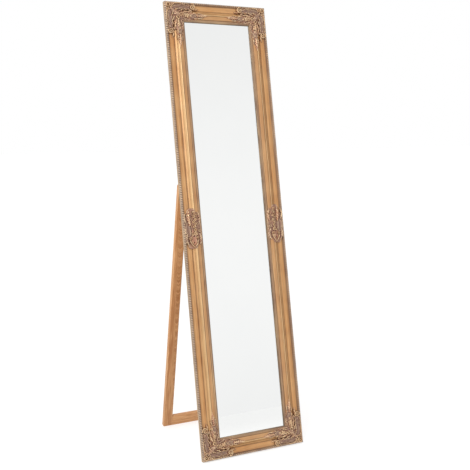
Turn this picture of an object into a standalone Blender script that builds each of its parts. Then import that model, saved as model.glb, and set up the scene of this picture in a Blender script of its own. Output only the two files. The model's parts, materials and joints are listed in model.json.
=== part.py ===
# Leaning floor mirror: a carved, gilded frame on a folding wooden easel back.
# Metres, +Z up. The glass faces -Y. The origin is on the floor, at the middle of the
# box around the whole object, with the easel open.
import math

import bmesh
import bpy
from mathutils import Vector

MM = 0.001
GAP = 0.3 * MM                # between two pieces that touch

# Frame, measured along and across the mirror itself
FRAME_WIDTH = 0.396
FRAME_HEIGHT = 1.600
LEAN = math.radians(11.3)     # of the mirror, backwards from upright

# Moulding: its front outline as (distance in from the outer side, height above the back)
SIDE_BEAD = [(0.0, 15.6), (0.9, 17.5), (3.0, 18.2), (5.0, 17.2), (6.2, 14.6), (7.0, 13.2)]
SCOOP = [(7.8, 10.9), (10.5, 9.5), (14.0, 9.5), (18.0, 9.9), (22.5, 9.6), (26.5, 8.9), (28.4, 8.6)]
RISE = [(29.6, 10.0), (32.5, 12.6), (37.5, 14.9), (39.6, 16.8), (41.6, 19.4), (43.0, 20.4), (44.6, 20.2)]
INNER_BEAD = [(45.5, 18.9), (48.0, 18.6), (52.0, 17.9), (56.5, 17.0), (59.4, 16.0), (60.2, 14.9)]
SIGHT_EDGE = [(61.5, 15.6), (64.5, 15.3), (67.5, 14.2), (69.6, 12.9), (70.4, 11.9)]
FRONT_OUTLINE = SIDE_BEAD + SCOOP + RISE + INNER_BEAD + SIGHT_EDGE
MOULDING_WIDTH = 70.4 * MM
REBATE_WIDTH = 10.0 * MM      # step behind the sight edge that holds the glass
REBATE_FLOOR = 10.0 * MM      # its height above the back
MITRE_GAP = GAP / 2

# Glass and what holds it in
GLASS_THICKNESS = 3.0 * MM
GLASS_PLAY = 2.0 * MM         # between the glass and the rebate, each side
BOARD_THICKNESS = 3.0 * MM
POINT_SIZE = (8.4 * MM, 14.0 * MM, 0.6 * MM)    # width, length, thickness
POINT_BITE = 5.4 * MM         # length inside the wood
POINTS_PER_STILE = 3

# V-shaped nails across the back of each mitre
V_NAIL_ROWS = ((15.0 * MM, "outer"), (48.0 * MM, "inner"))      # in from both outer sides
V_NAIL_LEG = 6.0 * MM
V_NAIL_DEPTH = 6.5 * MM
V_NAIL_THICKNESS = 0.8 * MM

# Castings glued on the moulding: a scroll along the scoop, a pointed leaf along the inner bead.
# Numbers without MM here are in mm, and a middle is a distance in from the outer side.
CASTING_EDGE = 1.4 * MM       # thickness at their rims
CASTING_BED = 0.4 * MM        # over the moulding's face
CASTING_SPAN = (2.0, 68.0)    # distances in from the side that they cover
CASTING_SKIN = 1.2            # added over the whole bed, inside the rim
SCROLL_RIDGE = (7.4, 18.0, 9.0)                 # height, middle, spread
LEAF_RIDGE = (2.4, 52.0, 9.0)
CORNER_SCROLL_END = 118.0     # from the corner, along the scoop
CORNER_SCROLL_LIMIT = 30.0    # the scroll ends and the leaf starts at this distance in
SCROLL_END_ROUND = (17.0, 14.5, 13.0)           # middle, half width, depth of its round end
CORNER_LEAF_END = 164.0       # from the corner, along the inner bead
LEAF_POINT = (46.0, 22.0, 68.0, 1.4)            # middle, half width, length, fullness
SIDE_CASTING_HALF = 62.0      # up and down from the middle of a stile
SIDE_CASTING_TIP = 8.0        # beyond that, at its rims
SIDE_CASTING_ROUND = (35.0, 34.0, 3.2, 0.6)     # middle, half width, squareness, fullness

# Easel
EASEL_HALF_WIDTH = 0.1975
LEG_WIDTH = 34.0 * MM
LEG_THICKNESS = 18.0 * MM
LEG_BELOW_HINGE = 0.920
LEG_ABOVE_HINGE = 30.0 * MM
RAIL_HEIGHT = 37.0 * MM
TOP_RAIL_DROP = 30.0 * MM     # from the hinge line down to the rail
DOWEL_RADIUS = 4.0 * MM
DOWEL_LENGTH = 36.0 * MM
DOWEL_SPACING = 18.0 * MM

# Butt hinges
HINGE_HEIGHT = 0.922          # of the pin, along the mirror from its foot
KNUCKLE_RADIUS = 2.5 * MM
KNUCKLE_BORE = 1.5 * MM
PIN_RADIUS = 1.2 * MM
PIN_HEAD_RADIUS = 2.0 * MM
PIN_HEAD_HEIGHT = 0.8 * MM
LEAF_LENGTH = 22.0 * MM
LEAF_WIDTH = 30.0 * MM
LEAF_THICKNESS = 1.6 * MM
LEAF_SETBACK = 3.0 * MM       # of a leaf's plate beside the other leaf's knuckle
MIDDLE_KNUCKLE = 12.0 * MM
SCREW_PLACES = ((-9.0 * MM, -9.0 * MM), (9.0 * MM, -9.0 * MM), (0.0, -17.0 * MM))
SCREW_HEAD_RADIUS = 2.7 * MM
SCREW_SHANK_RADIUS = 1.2 * MM
SCREW_LENGTH = 8.0 * MM
HOLE_PLAY = 0.35 * MM
PIN_SIDES = 14
HOLE_SIDES = 12

PIN_TO_WOOD = GAP + KNUCKLE_RADIUS              # same on the stile and on the leg

SIDES = ((-1, "left"), (1, "right"))
ENDS = ((0, "bottom"), (1, "top"))


def easel_lean():
    """Angle of the easel from upright that puts its front foot edge on the floor."""
    pin_z = HINGE_HEIGHT * math.cos(LEAN) - PIN_TO_WOOD * math.sin(LEAN)
    reach = math.hypot(LEG_BELOW_HINGE, PIN_TO_WOOD)
    return math.acos(pin_z / reach) - math.atan2(PIN_TO_WOOD, LEG_BELOW_HINGE)


OPENING = LEAN + easel_lean()


def principled(name, colour, roughness, metallic=0.0):
    material = bpy.data.materials.new(name)
    material.use_nodes = True
    shader = material.node_tree.nodes["Principled BSDF"]
    shader.inputs["Base Color"].default_value = (*colour, 1.0)
    shader.inputs["Roughness"].default_value = roughness
    shader.inputs["Metallic"].default_value = metallic
    material.diffuse_color = (*colour, 1.0)
    return material


def empty(name, parent=None, location=(0, 0, 0), turn_x=0.0):
    holder = bpy.data.objects.new(name, None)
    holder.parent = parent
    holder.location = location
    holder.rotation_euler = (turn_x, 0, 0)
    bpy.context.collection.objects.link(holder)
    return holder


def piece(name, bm, parent, material=None, smooth=None):
    """Turns a bmesh into a named object; with no material it is a cutter."""
    bmesh.ops.recalc_face_normals(bm, faces=bm.faces)
    mesh = bpy.data.meshes.new(name)
    bm.to_mesh(mesh)
    bm.free()
    if smooth is not None:
        mesh.shade_smooth()
        mesh.set_sharp_from_angle(angle=math.radians(smooth))
    result = bpy.data.objects.new(name, mesh)
    result.parent = parent
    bpy.context.collection.objects.link(result)
    if material:
        mesh.materials.append(material)
    else:
        result.hide_render = True
        result.display_type = 'WIRE'
    return result


def cut(target, *cutters):
    for cutter in cutters:
        modifier = target.modifiers.new(cutter.name, 'BOOLEAN')
        modifier.operation = 'DIFFERENCE'
        modifier.solver = 'EXACT'
        modifier.object = cutter


def add_box(bm, low, high):
    corners = [[low[i], high[i]] for i in range(3)]
    verts = [bm.verts.new((x, y, z)) for x in corners[0] for y in corners[1] for z in corners[2]]
    for face in ((0, 1, 3, 2), (4, 6, 7, 5), (0, 4, 5, 1), (2, 3, 7, 6), (0, 2, 6, 4), (1, 5, 7, 3)):
        bm.faces.new([verts[i] for i in face])


def box_between(bm, place, low, high):
    """Box between two corners given in another piece's coordinates."""
    first, second = place(*low), place(*high)
    add_box(bm, [min(p) for p in zip(first, second)], [max(p) for p in zip(first, second)])


def add_prism(bm, outline, start, run):
    """Sweeps a flat outline of 3-D points by the vector run."""
    offset = Vector(start)
    first = [bm.verts.new(Vector(point) + offset) for point in outline]
    second = [bm.verts.new(Vector(point) + offset + Vector(run)) for point in outline]
    bm.faces.new(first)
    bm.faces.new(second)
    for i in range(len(outline)):
        j = (i + 1) % len(outline)
        bm.faces.new((first[i], first[j], second[j], second[i]))


def add_turned(bm, centre, axis, profile, sides):
    """Turned solid: profile is (radius, distance along the axis), closed by its two ends."""
    axis = Vector(axis).normalized()
    across = axis.orthogonal().normalized()
    other = axis.cross(across)
    rings = []
    for radius, along in profile:
        ring = []
        for i in range(sides):
            turn = 2 * math.pi * i / sides
            spoke = across * math.cos(turn) + other * math.sin(turn)
            ring.append(bm.verts.new(Vector(centre) + axis * along + spoke * radius))
        rings.append(ring)
    for lower, upper in zip(rings, rings[1:]):
        for i in range(sides):
            j = (i + 1) % sides
            bm.faces.new((lower[i], lower[j], upper[j], upper[i]))
    bm.faces.new(rings[0])
    bm.faces.new(rings[-1])


def repeated(places, add, parent, material):
    """One object at each named place."""
    for name, spot in places.items():
        bm = bmesh.new()
        add(bm, spot, 0.0)
        piece(name, bm, parent, material, smooth=40)


def sockets(name, places, add, parent, play):
    """One cutter with the room for a piece at every place."""
    bm = bmesh.new()
    for spot in places.values():
        add(bm, spot, play)
    return piece(name, bm, parent)


# ---- moulding

def face_height(distance):
    """Height of the moulding's face above its back, in mm, at a distance in from the side."""
    for (low, low_height), (high, high_height) in zip(FRONT_OUTLINE, FRONT_OUTLINE[1:]):
        if low <= distance <= high:
            return low_height + (high_height - low_height) * (distance - low) / (high - low)
    return FRONT_OUTLINE[-1][1]


def stile_point(side, distance, along, height):
    return (side * (FRAME_WIDTH / 2 - distance), -height, along)


def rail_point(end, distance, along, height):
    """end is 1 for the top rail and 0 for the bottom one."""
    level = FRAME_HEIGHT - distance if end else distance
    return (along - FRAME_WIDTH / 2, -height, level)


def moulding_bar(name, place, length, parent, material):
    """One mitred length of moulding; place(distance, along, height) puts it in the frame."""
    inner = MOULDING_WIDTH - REBATE_WIDTH
    section = [(0.0, 0.0)] + [(d * MM, h * MM) for d, h in FRONT_OUTLINE]
    section += [(MOULDING_WIDTH, REBATE_FLOOR), (inner, REBATE_FLOOR), (inner, 0.0)]
    bm = bmesh.new()
    near = [bm.verts.new(place(d, d + MITRE_GAP, h)) for d, h in section]
    far = [bm.verts.new(place(d, length - d - MITRE_GAP, h)) for d, h in section]
    bm.faces.new(near)
    bm.faces.new(far)
    for i in range(len(section)):
        j = (i + 1) % len(section)
        bm.faces.new((near[i], near[j], far[j], far[i]))
    return piece(name, bm, parent, material, smooth=38)


def v_nail_places():
    """Each nail's name, then its stile, its rail and its distance in from both outer sides."""
    places = {}
    for side, side_name in SIDES:
        for end, end_name in ENDS:
            for distance, row_name in V_NAIL_ROWS:
                places[f"v_nail_{end_name}_{side_name}_{row_name}"] = (side, end, distance)
    return places


def add_v_nail(bm, spot, grow):
    """Two wings at a right angle, one in the stile and one in the rail."""
    side, end, distance = spot
    thick = V_NAIL_THICKNESS / 2 + grow
    reach = V_NAIL_LEG + grow
    outline = [(-thick, -thick), (reach, -thick), (reach, thick), (thick, thick), (thick, reach),
               (-thick, reach)]
    up = -1 if end else 1
    level = FRAME_HEIGHT - distance if end else distance
    centre_x = side * (FRAME_WIDTH / 2 - distance)
    points = [(centre_x - side * a, 0, level + up * b) for a, b in outline]
    mouth = grow if grow else -GAP
    add_prism(bm, points, (0, mouth, 0), (0, -V_NAIL_DEPTH - mouth - grow, 0))


def glazing_point_places():
    """Each glazing point's name and a function that places (distance, along, height) there."""
    wall = MOULDING_WIDTH - REBATE_WIDTH
    opening = FRAME_HEIGHT - 2 * wall
    places = {}
    for side, side_name in SIDES:
        for i in range(POINTS_PER_STILE):
            level = wall + opening * (i + 0.5) / POINTS_PER_STILE
            places[f"glazing_point_{side_name}_{i + 1}"] = (
                lambda d, a, h, s=side, m=level: stile_point(s, d, m + a, h))
    for end, end_name in ENDS:
        places[f"glazing_point_{end_name}"] = (
            lambda d, a, h, e=end: rail_point(e, d, FRAME_WIDTH / 2 + a, h))
    return places


def add_glazing_point(bm, place, grow):
    """Thin steel tab, half in the rebate wall and half over the board's back."""
    width, length, thickness = POINT_SIZE
    board_back = REBATE_FLOOR - GLASS_THICKNESS - BOARD_THICKNESS - 2 * GAP
    front = board_back - GAP + grow
    back = board_back - GAP - thickness - grow
    start = MOULDING_WIDTH - REBATE_WIDTH - POINT_BITE - grow
    low = (start, -width / 2 - grow, back)
    high = (start + length + grow, width / 2 + grow, front)
    box_between(bm, place, low, high)


def sheet(name, margin, front, thickness, parent, material):
    """Flat rectangle inside the rebate; margin is in from the frame's outer sides."""
    half = FRAME_WIDTH / 2 - margin
    bm = bmesh.new()
    add_box(bm, (-half, -front, margin), (half, -front + thickness, FRAME_HEIGHT - margin))
    return piece(name, bm, parent, material)


# ---- castings

def casting_columns():
    """Distances in from the side at which a casting's bed follows the moulding, in mm."""
    return [d for d, h in FRONT_OUTLINE if CASTING_SPAN[0] < d < CASTING_SPAN[1]]


def ridge(distance, height, middle, spread):
    return height * math.exp(-((distance - middle) / spread) ** 2)


def corner_end(distance):
    """How far a corner casting runs from the corner, in mm: a scroll, then a pointed leaf."""
    if distance < CORNER_SCROLL_LIMIT:
        middle, half, depth = SCROLL_END_ROUND
        round_end = max(0.0, 1 - ((distance - middle) / half) ** 2)
        return CORNER_SCROLL_END - depth * (1 - math.sqrt(round_end))
    middle, half, length, fullness = LEAF_POINT
    taper = min(1.0, abs(distance - middle) / half)
    return CORNER_LEAF_END - length * taper ** fullness


def side_end(distance):
    """Half the length of a side casting at a distance in from the side, in mm."""
    middle, half, squareness, fullness = SIDE_CASTING_ROUND
    taper = min(1.0, abs(distance - middle) / half)
    return SIDE_CASTING_HALF * (1 - taper ** squareness) ** fullness + SIDE_CASTING_TIP


def casting_rise(distance, fraction):
    """Thickness over the bed, in m; fraction runs from 0 in the middle to 1 at the rim."""
    fade = 1 - fraction ** 3
    body = ridge(distance, *SCROLL_RIDGE) + ridge(distance, *LEAF_RIDGE) + CASTING_SKIN
    return CASTING_EDGE + fade * body * MM


def add_casting(bm, rows):
    """Closed shell from rows of (bed point, face point) pairs."""
    beds = [[bm.verts.new(bed) for bed, face in row] for row in rows]
    faces = [[bm.verts.new(face) for bed, face in row] for row in rows]
    last_row, last_column = len(rows) - 1, len(rows[0]) - 1
    for i in range(last_row):
        for j in range(last_column):
            bm.faces.new((beds[i][j], beds[i + 1][j], beds[i + 1][j + 1], beds[i][j + 1]))
            bm.faces.new((faces[i][j], faces[i][j + 1], faces[i + 1][j + 1], faces[i + 1][j]))
    for i in range(last_row):
        for j in (0, last_column):
            bm.faces.new((beds[i][j], beds[i + 1][j], faces[i + 1][j], faces[i][j]))
    for j in range(last_column):
        for i in (0, last_row):
            bm.faces.new((beds[i][j], beds[i][j + 1], faces[i][j + 1], faces[i][j]))


def casting_pair(place, distance, along, fraction):
    bed = face_height(distance) * MM + CASTING_BED
    face = bed + casting_rise(distance, fraction)
    return place(distance * MM, along * MM, bed), place(distance * MM, along * MM, face)


def corner_casting(name, side, end, parent, material):
    """L-shaped casting over a mitre, with an arm along the stile and one along the rail."""
    def on_stile(distance, along, height):
        level = FRAME_HEIGHT - along if end else along
        return stile_point(side, distance, level, height)

    def on_rail(distance, along, height):
        start = FRAME_WIDTH - along if side > 0 else along
        return rail_point(end, distance, start, height)

    steps = 6
    rows = []
    for i in range(-steps, steps + 1):
        fraction = abs(i) / steps
        place = on_stile if i < 0 else on_rail
        row = []
        for distance in casting_columns():
            along = distance + (corner_end(distance) - distance) * fraction
            row.append(casting_pair(place, distance, along, fraction))
        rows.append(row)
    bm = bmesh.new()
    add_casting(bm, rows)
    return piece(name, bm, parent, material, smooth=50)


def side_casting(name, side, parent, material):
    """Casting across the middle of a stile."""
    def on_stile(distance, along, height):
        return stile_point(side, distance, FRAME_HEIGHT / 2 + along, height)

    steps = 4
    rows = []
    for i in range(-steps, steps + 1):
        row = []
        for distance in casting_columns():
            along = side_end(distance) * i / steps
            row.append(casting_pair(on_stile, distance, along, abs(i) / steps))
        rows.append(row)
    bm = bmesh.new()
    add_casting(bm, rows)
    return piece(name, bm, parent, material, smooth=50)


# ---- easel, in its own space: the hinge pin's line is the X axis, the legs run down -Z

def rail_spans():
    """Lowest and highest level of the easel's two rails."""
    top = -TOP_RAIL_DROP
    return {"easel_top_rail": (top - RAIL_HEIGHT, top),
            "easel_crossbar": (-LEG_BELOW_HINGE, -LEG_BELOW_HINGE + RAIL_HEIGHT)}


def leg_outline():
    """Side view of a leg; its top end is bevelled to lie on the stile's back when open."""
    front = PIN_TO_WOOD
    back = front + LEG_THICKNESS
    stop = PIN_TO_WOOD - GAP
    sine, cosine = math.sin(OPENING), math.cos(OPENING)
    bevel_start = stop * sine + (front + stop * cosine) / sine * cosine
    bevel_top = -stop * cosine + (LEG_ABOVE_HINGE - stop * sine) / cosine * sine
    return [(front, -LEG_BELOW_HINGE), (back, -LEG_BELOW_HINGE), (back, LEG_ABOVE_HINGE),
            (bevel_top, LEG_ABOVE_HINGE), (front, bevel_start)]


def easel_leg(name, side, parent, material):
    outer = side * EASEL_HALF_WIDTH
    bm = bmesh.new()
    outline = [(0, y, z) for y, z in leg_outline()]
    add_prism(bm, outline, (outer, 0, 0), (-side * LEG_WIDTH, 0, 0))
    return piece(name, bm, parent, material)


def easel_rail(name, parent, material):
    low, high = rail_spans()[name]
    half = EASEL_HALF_WIDTH - LEG_WIDTH - GAP
    bm = bmesh.new()
    add_box(bm, (-half, PIN_TO_WOOD, low), (half, PIN_TO_WOOD + LEG_THICKNESS, high))
    return piece(name, bm, parent, material)


def dowel_places():
    """Each dowel's name and centre: two at each end of both rails."""
    joint = EASEL_HALF_WIDTH - LEG_WIDTH
    depth = PIN_TO_WOOD + LEG_THICKNESS / 2
    places = {}
    for side, side_name in SIDES:
        for rail, (low, high) in rail_spans().items():
            for step in (1, -1):
                level = (low + high) / 2 + step * DOWEL_SPACING / 2
                row = "upper" if step > 0 else "lower"
                places[f"{rail}_dowel_{side_name}_{row}"] = (side * joint, depth, level)
    return places


def add_dowel(bm, centre, grow):
    half = DOWEL_LENGTH / 2 + grow
    radius = DOWEL_RADIUS + grow
    add_turned(bm, centre, (1, 0, 0), [(radius, -half), (radius, half)], HOLE_SIDES)


# ---- hinges: a leaf lies in a plane p = 0 on the wood, its pin at p = KNUCKLE_RADIUS, q = 0

def leaf_section():
    """Outline of a leaf and its knuckle, seen along the pin."""
    plate_meets = math.asin((KNUCKLE_RADIUS - LEAF_THICKNESS) / KNUCKLE_RADIUS)
    first, last = math.pi, -math.pi / 2 - plate_meets
    outline = [(0.0, -LEAF_LENGTH)]
    for i in range(PIN_SIDES + 1):
        turn = first + (last - first) * i / PIN_SIDES
        outline.append((KNUCKLE_RADIUS + KNUCKLE_RADIUS * math.cos(turn), KNUCKLE_RADIUS * math.sin(turn)))
    outline.append((LEAF_THICKNESS, -LEAF_LENGTH))
    return outline


def hinge_centre(side):
    return side * (EASEL_HALF_WIDTH - LEG_WIDTH / 2)


def on_stile_back(side):
    """Places a leaf (x, p, q) on the mirror; p runs backwards from the stile."""
    return lambda x, p, q: (hinge_centre(side) + x, GAP + p, HINGE_HEIGHT + q)


def on_leg_front(side):
    """Places a leaf (x, p, q) on the easel; p runs forwards from the leg."""
    return lambda x, p, q: (hinge_centre(side) + x, PIN_TO_WOOD - GAP - p, q)


def screw_profile(grow):
    """From the head's flush face down the shank."""
    head, shank = SCREW_HEAD_RADIUS + grow, SCREW_SHANK_RADIUS + grow
    cone = head - shank
    start = grow if grow else 0.0
    return [(head, -start), (head, 0.2 * MM), (shank, 0.2 * MM + cone), (shank, SCREW_LENGTH + grow)]


def screw_places(body_name, place_of):
    """Each screw's name, with the middle of its head and of the leaf's back under it."""
    places = {}
    for side, side_name in SIDES:
        place = place_of(side)
        for i, (x, q) in enumerate(SCREW_PLACES):
            spot = (Vector(place(x, LEAF_THICKNESS, q)), Vector(place(x, 0, q)))
            places[f"{side_name}_hinge_{body_name}_screw_{i + 1}"] = spot
    return places


def add_screw(bm, spot, grow):
    head, foot = spot
    add_turned(bm, head, foot - head, screw_profile(grow), HOLE_SIDES)


def hinge_leaf(name, place, middle, parent, material):
    """middle is True for the leaf with the single knuckle between the other's two."""
    half = LEAF_WIDTH / 2
    bm = bmesh.new()
    add_prism(bm, [place(-half, p, q) for p, q in leaf_section()], (0, 0, 0), (LEAF_WIDTH, 0, 0))
    leaf = piece(name, bm, parent, material, smooth=30)

    knuckle = MIDDLE_KNUCKLE / 2
    if middle:
        spans = [(-half - MM, -knuckle), (knuckle, half + MM)]
    else:
        spans = [(-knuckle - GAP, knuckle + GAP)]
    bm = bmesh.new()
    for start, stop in spans:
        box_between(bm, place, (start, -MM, -LEAF_SETBACK), (stop, 3 * KNUCKLE_RADIUS, LEAF_SETBACK + MM))
    notch = piece(name + ".notch", bm, parent)

    bm = bmesh.new()
    reach = half + 2 * MM
    bore = [(KNUCKLE_BORE, -reach), (KNUCKLE_BORE, reach)]
    add_turned(bm, place(0, KNUCKLE_RADIUS, 0), (1, 0, 0), bore, PIN_SIDES)
    cut(leaf, notch, piece(name + ".bore", bm, parent))
    return leaf


def hinge_pin(name, side, parent, material):
    half = LEAF_WIDTH / 2
    profile = [(PIN_HEAD_RADIUS, -half - GAP - PIN_HEAD_HEIGHT), (PIN_HEAD_RADIUS, -half - GAP),
               (PIN_RADIUS, -half - GAP), (PIN_RADIUS, half + GAP),
               (PIN_HEAD_RADIUS, half + GAP), (PIN_HEAD_RADIUS, half + GAP + PIN_HEAD_HEIGHT)]
    bm = bmesh.new()
    centre = on_stile_back(side)(0, KNUCKLE_RADIUS, 0)
    add_turned(bm, centre, (1, 0, 0), profile, HOLE_SIDES)
    return piece(name, bm, parent, material, smooth=40)


def centre_over_footprint(stand):
    """Moves the stand so that the origin is under the middle of the whole object's box."""
    bpy.context.view_layer.update()
    graph = bpy.context.evaluated_depsgraph_get()
    corners = []
    for node in bpy.data.objects:
        if node.type == 'MESH' and not node.hide_render:
            shape = node.evaluated_get(graph)
            corners += [shape.matrix_world @ vert.co for vert in shape.data.vertices]
    low = [min(corner[i] for corner in corners) for i in range(3)]
    high = [max(corner[i] for corner in corners) for i in range(3)]
    stand.location = (-(low[0] + high[0]) / 2, -(low[1] + high[1]) / 2, -low[2])
    bpy.context.view_layer.update()


def build_mirror(mirror, gilt, casting, glass, board_wood, steel):
    bars = {
        "left_stile": (lambda d, a, h: stile_point(-1, d, a, h), FRAME_HEIGHT),
        "right_stile": (lambda d, a, h: stile_point(1, d, a, h), FRAME_HEIGHT),
        "bottom_rail": (lambda d, a, h: rail_point(0, d, a, h), FRAME_WIDTH),
        "top_rail": (lambda d, a, h: rail_point(1, d, a, h), FRAME_WIDTH),
    }
    nail_slots = sockets("v_nail_slots", v_nail_places(), add_v_nail, mirror, GAP)
    point_slots = sockets("glazing_point_slots", glazing_point_places(), add_glazing_point, mirror, GAP)
    screw_holes = sockets("stile_screw_holes", screw_places("frame", on_stile_back), add_screw, mirror,
                          HOLE_PLAY)
    for name, (place, length) in bars.items():
        bar = moulding_bar(name, place, length, mirror, gilt)
        cut(bar, nail_slots, point_slots)
        if name.endswith("stile"):
            cut(bar, screw_holes)
    repeated(v_nail_places(), add_v_nail, mirror, steel)
    repeated(glazing_point_places(), add_glazing_point, mirror, steel)

    edge = MOULDING_WIDTH - REBATE_WIDTH + GLASS_PLAY
    glass_front = REBATE_FLOOR - GAP
    board_front = glass_front - GLASS_THICKNESS - GAP
    sheet("mirror_glass", edge, glass_front, GLASS_THICKNESS, mirror, glass)
    sheet("backing_board", edge, board_front, BOARD_THICKNESS, mirror, board_wood)

    for side, side_name in SIDES:
        for end, end_name in ENDS:
            corner_casting(f"corner_ornament_{end_name}_{side_name}", side, end, mirror, casting)
        side_casting(f"side_ornament_{side_name}", side, mirror, casting)
    return screw_holes


def build_easel(easel, wood):
    holes = sockets("dowel_holes", dowel_places(), add_dowel, easel, GAP)
    screw_holes = sockets("leg_screw_holes", screw_places("leg", on_leg_front), add_screw, easel, HOLE_PLAY)
    for side, side_name in SIDES:
        cut(easel_leg(f"easel_{side_name}_leg", side, easel, wood), holes, screw_holes)
    for name in rail_spans():
        cut(easel_rail(name, easel, wood), holes)
    repeated(dowel_places(), add_dowel, easel, wood)
    return screw_holes


def build_hinges(mirror, easel, stile_holes, leg_holes, brass):
    for side, side_name in SIDES:
        frame_leaf = hinge_leaf(f"{side_name}_hinge_frame_leaf", on_stile_back(side), False, mirror, brass)
        leg_leaf = hinge_leaf(f"{side_name}_hinge_leg_leaf", on_leg_front(side), True, easel, brass)
        cut(frame_leaf, stile_holes)
        cut(leg_leaf, leg_holes)
        hinge_pin(f"{side_name}_hinge_pin", side, mirror, brass)
    repeated(screw_places("frame", on_stile_back), add_screw, mirror, brass)
    repeated(screw_places("leg", on_leg_front), add_screw, easel, brass)


def main():
    for old in list(bpy.data.objects):
        bpy.data.objects.remove(old, do_unlink=True)

    gilt = principled("gilt_moulding", (0.56, 0.33, 0.15), 0.42, 0.35)
    casting = principled("gilt_casting", (0.42, 0.28, 0.19), 0.5, 0.25)
    glass = principled("silvered_glass", (0.93, 0.94, 0.94), 0.02, 1.0)
    board_wood = principled("backing_board", (0.36, 0.23, 0.13), 0.8)
    wood = principled("easel_wood", (0.60, 0.34, 0.17), 0.55)
    steel = principled("steel_fixings", (0.55, 0.55, 0.56), 0.35, 1.0)
    brass = principled("brass_hinge", (0.72, 0.52, 0.25), 0.35, 1.0)

    stand = empty("stand")
    mirror = empty("mirror_lean", stand, turn_x=-LEAN)
    pin_y = HINGE_HEIGHT * math.sin(LEAN) + PIN_TO_WOOD * math.cos(LEAN)
    pin_z = HINGE_HEIGHT * math.cos(LEAN) - PIN_TO_WOOD * math.sin(LEAN)
    easel = empty("easel_hinge_line", stand, (0, pin_y, pin_z), easel_lean())

    stile_holes = build_mirror(mirror, gilt, casting, glass, board_wood, steel)
    leg_holes = build_easel(easel, wood)
    build_hinges(mirror, easel, stile_holes, leg_holes, brass)
    centre_over_footprint(stand)


main()
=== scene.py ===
import json
import math
import bmesh
import bpy
import numpy as np
from mathutils import Matrix, Vector


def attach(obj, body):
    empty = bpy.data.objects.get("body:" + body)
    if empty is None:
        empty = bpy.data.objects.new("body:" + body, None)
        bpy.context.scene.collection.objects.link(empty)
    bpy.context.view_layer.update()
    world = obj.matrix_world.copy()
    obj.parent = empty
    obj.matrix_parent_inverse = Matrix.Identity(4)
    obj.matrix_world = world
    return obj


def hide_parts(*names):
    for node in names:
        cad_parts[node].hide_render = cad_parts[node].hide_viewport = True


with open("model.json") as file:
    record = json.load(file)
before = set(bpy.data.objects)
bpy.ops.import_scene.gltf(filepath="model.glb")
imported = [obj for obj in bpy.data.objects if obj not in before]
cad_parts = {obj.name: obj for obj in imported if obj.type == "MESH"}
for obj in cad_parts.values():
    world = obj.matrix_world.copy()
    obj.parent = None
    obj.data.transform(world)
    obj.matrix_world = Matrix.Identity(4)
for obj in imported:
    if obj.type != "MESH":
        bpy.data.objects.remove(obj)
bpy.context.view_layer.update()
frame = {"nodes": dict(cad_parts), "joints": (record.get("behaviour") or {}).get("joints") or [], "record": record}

mm = 0.001
sides = {"left": -1, "right": 1}
ends = {"bottom": 0, "top": 1}
white = (1.0, 1.0, 1.0, 1.0)


# ---- camera and light

studio = {
    "cameraPlace": (-1.2385, -2.5246, 1.1392),
    "cameraTurn": 26.45,          # degrees from straight ahead, towards the mirror's right
    "cameraTilt": -7.88,
    "lens": 60.34,
    "sensorWidth": 36,
    "clipEnd": 200,
    "ambient": 0.88,
    "backdrop": 1.0,
    "shadeSide": 0.94,            # share of the ambient light that comes from the far right
    "shadeRound": 0.86,           # and of what comes from overhead or from near the floor
    "keyPlace": (-2.5, -2.1, 2.7),
    "keyAim": (0.0, 0.0, 0.9),
    "keyColour": (1.0, 0.985, 0.96),
    "keySize": 1.5,
    "keyPower": 62.0,
    "floorSize": 60.0,
    "floorGlow": 0.16,
    "floorGlowMirrored": 0.35,    # added where the floor is seen in the glass
    "floorGlowSeen": 0.45,        # added where it is seen directly
}


def addToScene(name, data):
    made = bpy.data.objects.new(name, data)
    bpy.context.scene.collection.objects.link(made)
    return made


def addStudio():
    scene = bpy.context.scene
    camera = addToScene("camera", bpy.data.cameras.new("camera"))
    camera.data.lens = studio["lens"]
    camera.data.sensor_width = studio["sensorWidth"]
    camera.data.clip_end = studio["clipEnd"]
    camera.location = studio["cameraPlace"]
    turn = math.radians(studio["cameraTurn"])
    camera.rotation_euler = (math.radians(90 + studio["cameraTilt"]), 0, -turn)
    scene.camera = camera
    scene.view_settings.view_transform = 'Standard'

    # white seen directly; as light, the room is a little darker far right, overhead and near the floor
    world = bpy.data.worlds.new("studio")
    world.use_nodes = True
    tree = world.node_tree
    direction = addNode(tree, "ShaderNodeTexCoord").outputs["Generated"]
    parts = addNode(tree, "ShaderNodeSeparateXYZ", {"Vector": direction}).outputs
    room = remap(tree, parts["X"], 0.55, 0.95, 1.0, studio["shadeSide"], smooth=True)
    height = calc(tree, 'ABSOLUTE', calc(tree, 'SUBTRACT', parts["Z"], 0.2))
    around = remap(tree, height, 0.0, 0.5, 1.0, studio["shadeRound"], smooth=True)
    room = calc(tree, 'MULTIPLY', room, around)
    seen = addNode(tree, "ShaderNodeLightPath").outputs
    lit = remap(tree, seen["Is Glossy Ray"], 0.0, 1.0, studio["ambient"], studio["backdrop"])
    direct = calc(tree, 'MULTIPLY', seen["Is Camera Ray"], studio["backdrop"])
    strength = calc(tree, 'MAXIMUM', calc(tree, 'MULTIPLY', room, lit), direct)
    tree.nodes["Background"].inputs["Color"].default_value = white
    feed(tree.nodes["Background"], Strength=strength)
    scene.world = world

    key = addToScene("key", bpy.data.lights.new("key", 'AREA'))
    key.data.size = studio["keySize"]
    key.data.energy = studio["keyPower"]
    key.data.color = studio["keyColour"]
    key.location = studio["keyPlace"]
    key.rotation_euler = (Vector(studio["keyAim"]) - key.location).to_track_quat('-Z', 'Y').to_euler()


# ---- small helpers for node trees

def addNode(tree, kind, inputs=None, **settings):
    made = tree.nodes.new(kind)
    for setting, value in settings.items():
        setattr(made, setting, value)
    for socket, value in (inputs or {}).items():
        if isinstance(value, bpy.types.NodeSocket):
            tree.links.new(value, made.inputs[socket])
        else:
            made.inputs[socket].default_value = value
    return made


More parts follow.
